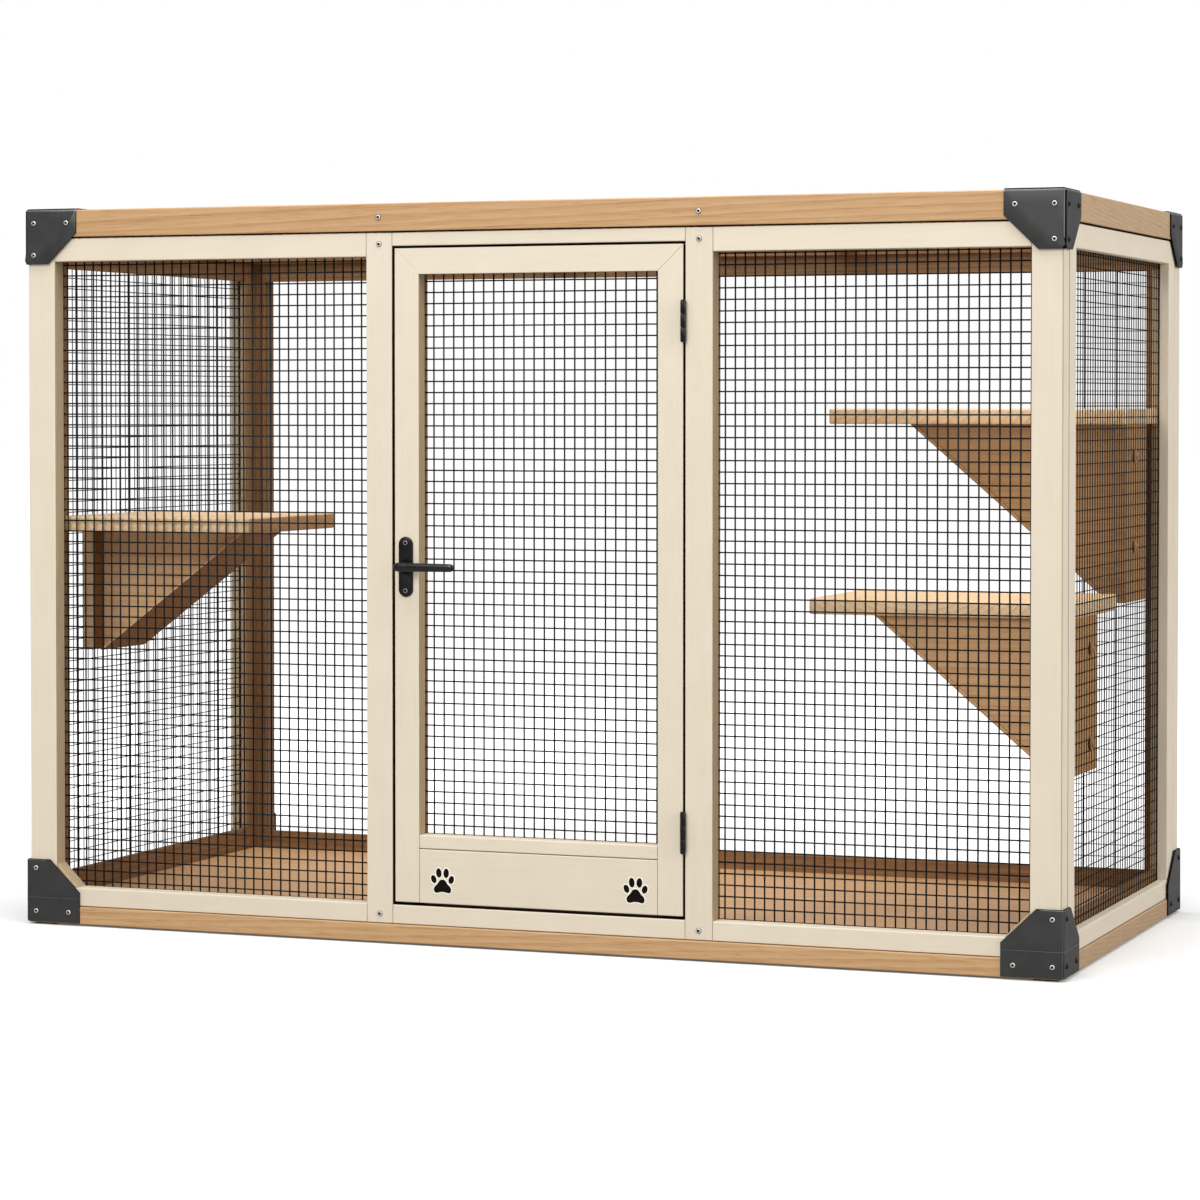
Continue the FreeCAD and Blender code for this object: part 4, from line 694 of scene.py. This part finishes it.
def paw_prints():
    """The dark prints, sunk a little into the panel."""
    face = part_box("paw_inlays")[0].y
    heap = Heap()
    for shape in solids_of("paw_inlays"):
        for vertex in shape.verts:
            if vertex.co.y < face + NEAR:
                vertex.co.y += PRINT_DEPTH
        shape.normal_update()
        heap.take(shape, None, ALONG_X)
    settle("paw_prints", heap.mesh("paw_prints", [INLAY]), "paw_inlays")


kick_panel()
paw_prints()

# Welded mesh: upright and level wires in two layers, drawn by one tree for every sheet

FRONT_WIRES = (1.4 * MM, 1.2 * MM)     # radius of the upright and of the level wires
SIDE_WIRES = (0.88 * MM, 0.85 * MM)
BACK_WIRES = (0.8 * MM, 0.7 * MM)
SHEET_HALF = 1.5 * MM
WIRE_SIDES = 8


def wire_tree():
    """A sheet of crossing wires in the XZ plane, from its lower left corner."""
    tree = bpy.data.node_groups.new("welded_wire_sheet", "GeometryNodeTree")
    counts = ("Uprights", "Levels")
    for name in ("Width", "Height", "First Upright", "Upright Pitch", "Uprights", "First Level",
                 "Level Pitch", "Levels", "Upright Radius", "Level Radius", "Half Thickness"):
        kind = "NodeSocketInt" if name in counts else "NodeSocketFloat"
        tree.interface.new_socket(name, in_out="INPUT", socket_type=kind)
    tree.interface.new_socket("Sheet", in_out="OUTPUT", socket_type="NodeSocketGeometry")
    given = add(tree, "NodeGroupInput").outputs

    def run(length, first, pitch, count, radius, upright):
        """Wires of one direction, each a cylinder on a point of a line."""
        half = add(tree, "ShaderNodeMath", {0: length, 1: 0.5}, operation="MULTIPLY").outputs[0]
        layer = add(tree, "ShaderNodeMath", {0: given["Half Thickness"], 1: radius},
                    operation="SUBTRACT").outputs[0]
        side = add(tree, "ShaderNodeMath", {0: layer, 1: -1.0 if upright else 1.0},
                   operation="MULTIPLY").outputs[0]
        start = add(tree, "ShaderNodeCombineXYZ", {"X": first if upright else half, "Y": side,
                                                   "Z": half if upright else first})
        step = add(tree, "ShaderNodeCombineXYZ", {"X" if upright else "Z": pitch})
        line = add(tree, "GeometryNodeMeshLine", {"Count": count, "Start Location": start.outputs[0],
                                                  "Offset": step.outputs[0]})
        bar = add(tree, "GeometryNodeMeshCylinder", {
            "Vertices": WIRE_SIDES, "Radius": radius, "Depth": length})
        turned = add(tree, "GeometryNodeTransform", {
            "Geometry": bar.outputs["Mesh"], "Rotation": (0.0, 0.0 if upright else math.pi / 2, 0.0)})
        copies = add(tree, "GeometryNodeInstanceOnPoints", {"Points": line.outputs["Mesh"],
                                                            "Instance": turned.outputs["Geometry"]})
        return copies.outputs["Instances"]

    uprights = run(given["Height"], given["First Upright"], given["Upright Pitch"], given["Uprights"],
                   given["Upright Radius"], True)
    levels = run(given["Width"], given["First Level"], given["Level Pitch"], given["Levels"],
                 given["Level Radius"], False)
    joined = add(tree, "GeometryNodeJoinGeometry")
    tree.links.new(uprights, joined.inputs[0])
    tree.links.new(levels, joined.inputs[0])
    real = add(tree, "GeometryNodeRealizeInstances", {"Geometry": joined.outputs[0]})
    round_wire = add(tree, "GeometryNodeSetShadeSmooth", {"Geometry": real.outputs[0]})
    coated = add(tree, "GeometryNodeSetMaterial", {"Geometry": round_wire.outputs[0], "Material": WIRE})
    add(tree, "NodeGroupOutput", {"Sheet": coated.outputs[0]})
    return tree


def grown(tree, start_mesh, values):
    """The plain mesh that a tree makes with the named values."""
    holder = bpy.data.objects.new(tree.name, start_mesh)
    bpy.context.scene.collection.objects.link(holder)
    modifier = holder.modifiers.new(tree.name, "NODES")
    modifier.node_group = tree
    for item in tree.interface.items_tree:
        if item.in_out == "INPUT" and item.name in values:
            modifier[item.identifier] = values[item.name]
    graph = bpy.context.evaluated_depsgraph_get()
    mesh = bpy.data.meshes.new_from_object(holder.evaluated_get(graph))
    bpy.data.objects.remove(holder)
    return mesh


# Each front sheet has a grid of its own: the place of one upright wire, the uprights' pitch, the height of
# one level wire and the levels' pitch, in millimetres. The sides and the roof share one.
FRONT_GRIDS = {
    "front_left_mesh": (-373.6, 16.6, 901.8, 18.02),
    "door_mesh": (34.2, 17.6, 919.7, 18.11),
    "front_right_mesh": (391.0, 16.54, 720.5, 18.215),
}
SIDE_FIRST, SIDE_PITCH, LEVEL_FIRST, LEVEL_PITCH = (value * MM for value in (10.0, 17.2, 74.5, 18.3))
CLEAR = 2 * MM         # no wire runs closer to the edge of its sheet
EYE = Vector((2.2286, -5.8778, 0.8818))     # where the camera stands
SHEET_TREE = wire_tree()


def lines_between(low, high, origin, pitch):
    """The first line of a grid inside two limits, from the low one, and how many lines there are."""
    first = math.ceil((low + CLEAR - origin) / pitch)
    last = math.floor((high - CLEAR - origin) / pitch)
    return origin + first * pitch - low, last - first + 1


def middle_of(node, axis):
    """The middle of a CAD node along an axis."""
    low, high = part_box(node)
    return (low[axis] + high[axis]) / 2


def wire_panel(low, high, across, up, grid, wires):
    """The wires between two corners. across and up are the axes that they span; the grid is in metres."""
    normal = 3 - across - up
    first_u, count_u = lines_between(low[across], high[across], grid[0], grid[1])
    first_v, count_v = lines_between(low[up], high[up], grid[2], grid[3])
    mesh = grown(SHEET_TREE, bpy.data.meshes.new("sheet_start"), {
        "Width": high[across] - low[across], "Height": high[up] - low[up], "First Upright": first_u,
        "Upright Pitch": grid[1], "Uprights": count_u, "First Level": first_v, "Level Pitch": grid[3],
        "Levels": count_v, "Upright Radius": wires[0], "Level Radius": wires[1],
        "Half Thickness": SHEET_HALF})
    turn = Matrix.Identity(4)
    if normal == 0:
        turn = Matrix.Rotation(math.pi / 2, 4, "Z")
    if normal == 2:
        turn = Matrix.Rotation(-math.pi / 2, 4, "X")
    corner = low.copy()
    corner[normal] = (low[normal] + high[normal]) / 2
    mesh.transform(Matrix.Translation(corner) @ turn)
    return mesh


def wire_sheet(node, panels):
    """A sheet that stands for a CAD node, joined from panels of wires."""
    whole = bmesh.new()
    for panel in panels:
        whole.from_mesh(panel)
    mesh = bpy.data.meshes.new(f"{node}_wires")
    whole.to_mesh(mesh)
    whole.free()
    mesh.materials.append(WIRE)
    settle(f"{node}_wires", mesh, node)


def back_panels():
    """Three widths of wire behind the three front sheets, in line with them from the picture's viewpoint."""
    low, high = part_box("back_mesh")
    back_y = middle_of("back_mesh", 1)

    def seen_at(value, node, axis):
        """Where the back sheet is met by the line of sight through a place on a front piece."""
        grow = (back_y - EYE.y) / (middle_of(node, 1) - EYE.y)
        return EYE[axis] + (value - EYE[axis]) * grow, grow

    joins = [seen_at(middle_of(jamb, 0), jamb, 0)[0] for jamb in ("latch_jamb", "hinge_jamb")]
    start = low.x
    made = []
    for (node, grid), end in zip(FRONT_GRIDS.items(), joins + [high.x]):
        x, grow = seen_at(grid[0] * MM, node, 0)
        z = seen_at(grid[2] * MM, node, 2)[0]
        pitch = grid[1] * MM * grow
        made.append(wire_panel(Vector((start, low.y, low.z)), Vector((end, high.y, high.z)), 0, 2,
                               (x, pitch, z, grid[3] * MM * grow), BACK_WIRES))
        # the next width begins well clear of this one's last upright
        first, count = lines_between(start, end, x, pitch)
        start = max(end, start + first + (count - 0.4) * pitch)
    return made


for node, grid in FRONT_GRIDS.items():
    wire_sheet(node, [wire_panel(*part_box(node), 0, 2, [value * MM for value in grid], FRONT_WIRES)])
wire_sheet("back_mesh", back_panels())
for node in ("left_side_mesh", "right_side_mesh"):
    grid = (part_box(node)[0].y + SIDE_FIRST, SIDE_PITCH, LEVEL_FIRST, LEVEL_PITCH)
    wire_sheet(node, [wire_panel(*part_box(node), 1, 2, grid, SIDE_WIRES)])
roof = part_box("roof_mesh")
grid = (roof[0].x + SIDE_FIRST, SIDE_PITCH, roof[0].y + SIDE_FIRST, LEVEL_PITCH)
wire_sheet("roof_mesh", [wire_panel(*roof, 0, 1, grid, SIDE_WIRES)])


# Corner brackets: bent plates with eased edges; a crease runs round the lower ones

BEND = 6 * MM
BEND_STEPS = 5
GROOVE = 1.9 * MM
CREASE_MM = 46.6
PLATE_EASE = 1.4 * MM
PLATE_SKIN = 0.6 * MM  # a face this near to a bracket's outside is an outer one
SHORTEST_EASED = 8 * MM
FLAT = 0.985           # from this cosine on, a face is the flat of a plate
BEND_END = 0.97        # a bend gets painted shade as far round as this cosine
HIGHLIGHT_END = 0.6       # and a painted highlight line as far as this one
COATED, SHADED_EDGE, HIGHLIGHT_LINE = range(3)


def bend_edges(shape):
    """The outer edges where a bracket's plate is bent round the corner or over the top."""
    reach = [max(abs(vertex.co[axis]) for vertex in shape.verts) for axis in range(3)]
    flat_top = sum(vertex.co.z > reach[2] - NEAR for vertex in shape.verts) > 4
    found = []
    for edge in shape.edges:
        planes = 0
        for axis in (0, 1, 2) if flat_top else (0, 1):
            planes += all(abs(vertex.co[axis]) > reach[axis] - NEAR for vertex in edge.verts)
        if planes >= 2:
            found.append(edge)
    return found


def crease(shape, height):
    """A bracket in two, below and above a height, with the cut edges eased into a fine groove."""
    halves = [shape.copy(), shape]
    for half, keep_low in zip(halves, (True, False)):
        bmesh.ops.bisect_plane(half, geom=half.verts[:] + half.edges[:] + half.faces[:],
                               plane_co=(0, 0, height), plane_no=(0, 0, 1), clear_outer=keep_low,
                               clear_inner=not keep_low)
        bmesh.ops.holes_fill(half, edges=[edge for edge in half.edges if edge.is_boundary])
        half.normal_update()
        cut = [edge for edge in half.edges
               if all(abs(vertex.co.z - height) < 0.01 * MM for vertex in edge.verts)]
        bmesh.ops.bevel(half, geom=cut, offset=GROOVE, offset_type="OFFSET", segments=1, profile=0.5,
                        affect="EDGES", clamp_overlap=True)
        half.normal_update()
    return halves


def brackets(node, crease_mm=None):
    """The bent plates of a node, coated on their faces, with painted shade on their cut edges and bends and
    painted highlight lines.
    """
    heap = Heap()
    for shape in solids_of(node):
        reach = [max(abs(vertex.co[axis]) for vertex in shape.verts) for axis in range(3)]

        def finish(centre, normal):
            """A face rule: coat on the flats, painted shade on bends and cut edges, painted highlight lines
            along bends and the groove.
            """
            depth = [reach[axis] - abs(centre[axis]) for axis in range(3)]
            level = abs(normal.z) > LEANS_TO
            outer = any(abs(normal[axis]) > LEANS_TO and depth[axis] < PLATE_SKIN for axis in range(3))
            bend = sum(value < BEND + 2 * NEAR for value in depth) >= 2
            turn = abs(normal.z) if level else max(abs(normal.z), abs(normal.x))
            # the groove's face that looks up gets a painted highlight, the face that looks down painted shade
            if crease_mm and level and abs(centre.z - crease_mm * MM) < GROOVE + 3 * NEAR:
                return HIGHLIGHT_LINE if normal.z > 0 else SHADED_EDGE
            # a bend gets painted shade, with a painted highlight line along its front except at the left
            # corners
            if bend and LEANS_TO < turn < BEND_END:
                return HIGHLIGHT_LINE if turn < HIGHLIGHT_END and (centre.x > 0 or level) else SHADED_EDGE
            flat = max(abs(value) for value in normal) > FLAT
            return COATED if bend or outer and flat else SHADED_EDGE

        bmesh.ops.bevel(shape, geom=bend_edges(shape), offset=BEND, offset_type="OFFSET", segments=BEND_STEPS,
                        profile=0.5, affect="EDGES", clamp_overlap=True)
        shape.normal_update()
        for part in crease(shape, crease_mm * MM) if crease_mm else [shape]:
            soften(part, PLATE_EASE, shortest=SHORTEST_EASED)
            heap.take(part, finish)
    settle(f"{node}_plates", heap.mesh(f"{node}_plates", [BRACKET, EDGE_SHADE_BLACK, HIGHLIGHT_GREY], PLATE_SMOOTH), node)


brackets("top_corner_brackets")
brackets("bottom_corner_brackets", CREASE_MM)

# Screws and bolts: one head, copied to every place by a tree


def lathe(profile, segments):
    """A turned shape from radius and height pairs, closed at both ends."""
    shape = bmesh.new()
    rings = []
    for radius, height in profile:
        if radius == 0:
            rings.append([shape.verts.new((0, 0, height))])
            continue
        rings.append([shape.verts.new((radius * math.cos(2 * math.pi * i / segments),
                                       radius * math.sin(2 * math.pi * i / segments), height))
                      for i in range(segments)])
    for lower, upper in zip(rings, rings[1:]):
        for i in range(segments):
            corners = [lower[i % len(lower)], lower[(i + 1) % len(lower)], upper[(i + 1) % len(upper)],
                       upper[i % len(upper)]]
            corners = [corner for number, corner in enumerate(corners) if corner not in corners[:number]]
            shape.faces.new(corners)
    bmesh.ops.recalc_face_normals(shape, faces=shape.faces[:])
    return shape


# Radius and height pairs in millimetres: a pan head with a socket on a thin washer, and a domed head with a
# socket on a flat washer.
SCREW_PROFILE = ((0, -3.0), (1.8, -3.0), (1.8, 0), (4.8, 0), (4.8, 0.3), (4.0, 0.4), (3.95, 1.1), (3.7, 1.7),
                 (3.2, 2.0), (2.5, 1.9), (2.3, -0.4), (0, -0.6))
BOLT_PROFILE = ((0, -4.0), (3.0, -4.0), (3.0, 0), (11.0, 0), (11.0, 1.6), (10.6, 2.0), (6.0, 2.0), (6.0, 2.6),
                (5.4, 3.8), (4.2, 4.7), (3.0, 5.0), (2.6, 4.8), (2.3, 3.0), (0, 2.8))
SCREW_HEIGHT = 2.0 * MM
BOLT_HEIGHT = 5.0 * MM


def turned_head(name, profile, segments, is_dark):
    """A head that marks its faces of painted shade in an attribute; is_dark takes a face's radius and height
    in mm.
    """
    shape = lathe([(radius * MM, height * MM) for radius, height in profile], segments)
    mesh = bpy.data.meshes.new(name)
    shape.to_mesh(mesh)
    shape.free()
    recess = mesh.attributes.new("recess", "BOOLEAN", "FACE")
    for face in mesh.polygons:
        recess.data[face.index].value = is_dark(face.center.xy.length / MM, face.center.z / MM)
    return mesh


def screw_head():
    """The screws' head, with painted shade in its socket and on its washer."""
    return turned_head("screw_head", SCREW_PROFILE, 18,
                       lambda radius, height: radius > 4.05 or height > -0.7 and radius < 2.45)


def bolt_head():
    """The shelf bolts' head, with painted shade in its socket."""
    return turned_head("bolt_head", BOLT_PROFILE, 20, lambda radius, height: height > 2.6 and radius < 2.5)


SPIN_SEED = 7
FULL_TURN = 6.28


def fastener_tree(name, metal):
    """Copies of a head on the points of a mesh, each turned to face along the point's own direction."""
    tree = bpy.data.node_groups.new(name, "GeometryNodeTree")
    tree.interface.new_socket("Places", in_out="INPUT", socket_type="NodeSocketGeometry")
    tree.interface.new_socket("Head", in_out="INPUT", socket_type="NodeSocketObject")
    tree.interface.new_socket("Seed", in_out="INPUT", socket_type="NodeSocketInt")
    tree.interface.new_socket("Fasteners", in_out="OUTPUT", socket_type="NodeSocketGeometry")
    given = add(tree, "NodeGroupInput").outputs
    facing = add(tree, "GeometryNodeInputNamedAttribute", {"Name": "facing"}, data_type="FLOAT_VECTOR")
    aim = add(tree, "FunctionNodeAlignRotationToVector", {"Vector": facing.outputs["Attribute"]}, axis="Z")
    spin = add(tree, "FunctionNodeRandomValue", {"Min": 0.0, "Max": FULL_TURN, "Seed": given["Seed"]},
               data_type="FLOAT")
    about = add(tree, "FunctionNodeAxisAngleToRotation", {"Axis": (0.0, 0.0, 1.0), "Angle": spin.outputs[1]})
    turned = add(tree, "FunctionNodeRotateRotation", {0: aim.outputs[0], 1: about.outputs[0]},
                 rotation_space="LOCAL")
    shape = add(tree, "GeometryNodeObjectInfo", {"Object": given["Head"]}, transform_space="ORIGINAL")
    copies = add(tree, "GeometryNodeInstanceOnPoints", {
        "Points": given["Places"], "Instance": shape.outputs["Geometry"], "Rotation": turned.outputs[0]})
    real = add(tree, "GeometryNodeRealizeInstances", {"Geometry": copies.outputs["Instances"]})
    plated = add(tree, "GeometryNodeSetMaterial", {"Geometry": real.outputs[0], "Material": metal})
    # side screws get the black coat as painted shade
    black = add(tree, "GeometryNodeInputNamedAttribute", {"Name": "black"}, data_type="BOOLEAN")
    coated = add(tree, "GeometryNodeSetMaterial", {
        "Geometry": plated.outputs[0], "Selection": black.outputs["Attribute"], "Material": HARDWARE})
    # faces in sockets and round washers get painted shade
    recess = add(tree, "GeometryNodeInputNamedAttribute", {"Name": "recess"}, data_type="BOOLEAN")
    dark = add(tree, "GeometryNodeSetMaterial", {
        "Geometry": coated.outputs[0], "Selection": recess.outputs["Attribute"], "Material": SCREW_SHADE})
    add(tree, "NodeGroupOutput", {"Fasteners": dark.outputs[0]})
    return tree


def fasteners(node, head_mesh, metal, seat_depth):
    """Detailed heads at the seats of a node's solids; seat_depth is from the tip of a head to its seat."""
    places, directions = [], []
    for shape in solids_of(node):
        points = [vertex.co for vertex in shape.verts]
        spans = [(max(p[axis] for p in points), min(p[axis] for p in points)) for axis in range(3)]
        axis = max(range(3), key=lambda number: spans[number][0] - spans[number][1])
        centre = Vector([(high + low) / 2 for high, low in spans])
        outward = 1 if centre[axis] > 0 else -1
        facing = Vector([outward if number == axis else 0 for number in range(3)])
        tip = spans[axis][0] if outward > 0 else spans[axis][1]
        centre[axis] = tip - outward * seat_depth
        places.append(centre)
        directions.append(facing)
        shape.free()
    start = bpy.data.meshes.new(f"{node}_places")
    start.from_pydata(places, [], [])
    start.attributes.new("facing", "FLOAT_VECTOR", "POINT").data.foreach_set(
        "vector", [c for facing in directions for c in facing])
    # the frame's screws at the sides are coated black as painted shade
    start.attributes.new("black", "BOOLEAN", "POINT").data.foreach_set(
        "value", [metal == ZINC and abs(facing.x) > 0.5 for facing in directions])
    head = bpy.data.objects.new(head_mesh.name, head_mesh)
    tree = fastener_tree(f"{node}_heads", metal)
    mesh = grown(tree, start, {"Head": head, "Seed": SPIN_SEED})
    bpy.data.objects.remove(head)
    mesh.polygons.foreach_set("use_smooth", [True] * len(mesh.polygons))
    mesh.set_sharp_from_angle(angle=math.radians(METAL_SMOOTH))
    settle(f"{node}_heads", mesh, node)


fasteners("frame_screws", screw_head(), ZINC, SCREW_HEIGHT)
fasteners("door_screws", screw_head(), GREY_HIGHLIT_SCREW, SCREW_HEIGHT)
fasteners("shelf_bolts", bolt_head(), BOLT, BOLT_HEIGHT)


# Door furniture


def small_fitting(node, softness_mm, material):
    """A fitting with eased edges."""
    heap = Heap()
    for shape in solids_of(node):
        soften(shape, softness_mm * MM, shortest=0.5 * MM)
        heap.take(shape)
    settle(f"{node}_metal", heap.mesh(f"{node}_metal", [material], METAL_SMOOTH), node)


for node, softness_mm in (("hinge_frame_leaves", 0.3), ("hinge_door_leaves", 0.3), ("hinge_pins", 0.4),
                          ("handle_plate", 0.8), ("latch_tongue", 0.6), ("latch_keeper", 0.8),
                          ("latch_spacer", 0.5), ("latch_spindle", 0.5)):
    small_fitting(node, softness_mm, HARDWARE)
small_fitting("foot_pads", 0.8, PAD)

BAR_DEPTH = 9 * MM
TAIL_HALF = 7.5        # half the bar's height at its tail and at its tip, in millimetres
TIP_HALF = 6.5
SQUARENESS = 0.8       # the power that makes the bar's section squarer than an ellipse
BLUNT = 0.08           # the share of the section that is left at the ends
HUB_PROFILE_MM = ((0, 0), (7.2, 0), (8.0, 0.8), (8.0, 6), (7.0, 8), (6.4, 10))
HUB_END_MM = 6.2


def lever():
    """A rounded bar on a hub, thicker at its tail, with domed ends."""
    low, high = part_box("lever_handle")
    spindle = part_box("latch_spindle")
    centre_x = (spindle[0].x + spindle[1].x) / 2
    centre_z = (spindle[0].z + spindle[1].z) / 2
    bar_y = low.y + BAR_DEPTH / 2
    shape = bmesh.new()
    around = 24
    stations = 28
    rings = []
    for number in range(stations + 1):
        share = number / stations
        # stations crowd towards the ends, where the bar is domed
        place = 0.5 - 0.5 * math.cos(math.pi * share)
        x = low.x + (high.x - low.x) * place
        half_height = (TAIL_HALF + (TIP_HALF - TAIL_HALF) * place) * MM
        from_end = min(x - low.x, high.x - x)
        dome = math.sqrt(max(0.0, 1 - max(0.0, 1 - from_end / half_height) ** 2))
        dome = max(dome, BLUNT)
        ring = []
        for i in range(around):
            angle = 2 * math.pi * i / around
            c, s = math.cos(angle), math.sin(angle)
            u = math.copysign(abs(c) ** SQUARENESS, c) * BAR_DEPTH / 2 * dome
            v = math.copysign(abs(s) ** SQUARENESS, s) * half_height * dome
            ring.append(shape.verts.new((x, bar_y + u, centre_z + v)))
        rings.append(ring)
    for before, after in zip(rings, rings[1:]):
        for i in range(around):
            shape.faces.new((before[i], before[(i + 1) % around], after[(i + 1) % around], after[i]))
    for ring in (rings[0], rings[-1]):
        shape.faces.new(ring)
    bmesh.ops.recalc_face_normals(shape, faces=shape.faces[:])
    hub_length = high.y - low.y - BAR_DEPTH / 2
    hub_sides = 28
    hub = lathe([(radius * MM, height * MM) for radius, height in HUB_PROFILE_MM]
                + [(HUB_END_MM * MM, hub_length), (0, hub_length)], hub_sides)
    hub.transform(Matrix.Translation((centre_x, high.y, centre_z)) @ Matrix.Rotation(math.pi / 2, 4, "X"))
    heap = Heap()
    heap.take(shape)
    heap.take(hub)
    settle("lever_bar", heap.mesh("lever_bar", [LEVER], LEVER_SMOOTH), "lever_handle")


lever()

# Studio


def studio_floor():
    """White paper that shows the object's shadow near it and loses itself in the white behind."""
    mesh = bpy.data.meshes.new("studio_floor")
    reach = 60.0
    mesh.from_pydata([(-reach, -reach, 0), (reach, -reach, 0), (reach, reach, 0), (-reach, reach, 0)], [],
                     [(0, 1, 2, 3)])
    white, dim = (0.9, 0.9, 0.9, 1.0), (0.32, 0.31, 0.3, 1.0)
    material, tree, shader = new_material("matte_white_paper", Roughness=0.9, Emission_Color=white)
    # the paper shows white, while the light that it throws up at the object is dimmer than it looks
    shown = add(tree, "ShaderNodeLightPath").outputs["Is Camera Ray"]
    paper = add(tree, "ShaderNodeMix", {0: shown, 6: dim, 7: white}, data_type="RGBA")
    place = add(tree, "ShaderNodeTexCoord").outputs["Object"]
    away = add(tree, "ShaderNodeVectorMath", {0: place}, operation="LENGTH").outputs["Value"]
    # it glows from a metre away on, so that the shadow round the object stays
    near = add(tree, "ShaderNodeMapRange", {
        "Value": away, "From Min": 1.0, "From Max": 2.6, "To Min": 0.1, "To Max": 0.74},
        interpolation_type="SMOOTHSTEP")
    glow = add(tree, "ShaderNodeMath", {0: shown, 1: near.outputs["Result"]}, operation="MULTIPLY")
    tree.links.new(paper.outputs[2], shader.inputs["Base Color"])
    tree.links.new(glow.outputs[0], shader.inputs["Emission Strength"])
    mesh.materials.append(material)
    floor = bpy.data.objects.new("studio_floor", mesh)
    bpy.context.scene.collection.objects.link(floor)


def soft_light(name, place, target, size, power):
    """A square light of a size in metres and a power in watts, turned to a target."""
    data = bpy.data.lights.new(name, "AREA")
    data.shape = "SQUARE"
    data.size = size
    data.energy = power
    lamp = bpy.data.objects.new(name, data)
    bpy.context.scene.collection.objects.link(lamp)
    lamp.location = place
    lamp.rotation_euler = (Vector(target) - Vector(place)).to_track_quat("-Z", "Y").to_euler()


studio_floor()
world = bpy.data.worlds.new("white_studio")
bpy.context.scene.world = world
world.use_nodes = True
# the paper behind the object shows white, while the light that it gives is dimmer than it looks
shown = add(world.node_tree, "ShaderNodeLightPath").outputs["Is Camera Ray"]
bright = add(world.node_tree, "ShaderNodeMapRange", {"Value": shown, "To Min": 0.42, "To Max": 1.0})
world.node_tree.links.new(bright.outputs["Result"], world.node_tree.nodes["Background"].inputs["Strength"])
world.node_tree.nodes["Background"].inputs["Color"].default_value = (1.0, 1.0, 1.0, 1.0)
soft_light("key_light", (-1.0, -8.2, 5.2), (0.0, 0.0, 0.6), 5.0, 445)
soft_light("side_light", (7.0, -1.0, 3.0), (0.0, 0.0, 0.6), 4.0, 270)
soft_light("top_light", (0.0, -0.4, 4.2), (0.0, 0.0, 0.0), 3.0, 170)

# the photograph's viewpoint
LENS_MM = 109.94
LOOK_DOWN_DEG = 1.458
LOOK_LEFT_DEG = 20.933
camera_data = bpy.data.cameras.new("studio_camera")
camera_data.lens = LENS_MM
camera_data.sensor_width = 36.0
camera_data.shift_y = -0.085
camera_data.clip_end = 200.0
camera = bpy.data.objects.new("studio_camera", camera_data)
bpy.context.scene.collection.objects.link(camera)
camera.location = EYE
camera.rotation_euler = (math.radians(90 - LOOK_DOWN_DEG), 0.0, math.radians(LOOK_LEFT_DEG))
bpy.context.scene.camera = camera
bpy.context.scene.view_settings.view_transform = "Standard"
bpy.context.scene.view_settings.look = "None"
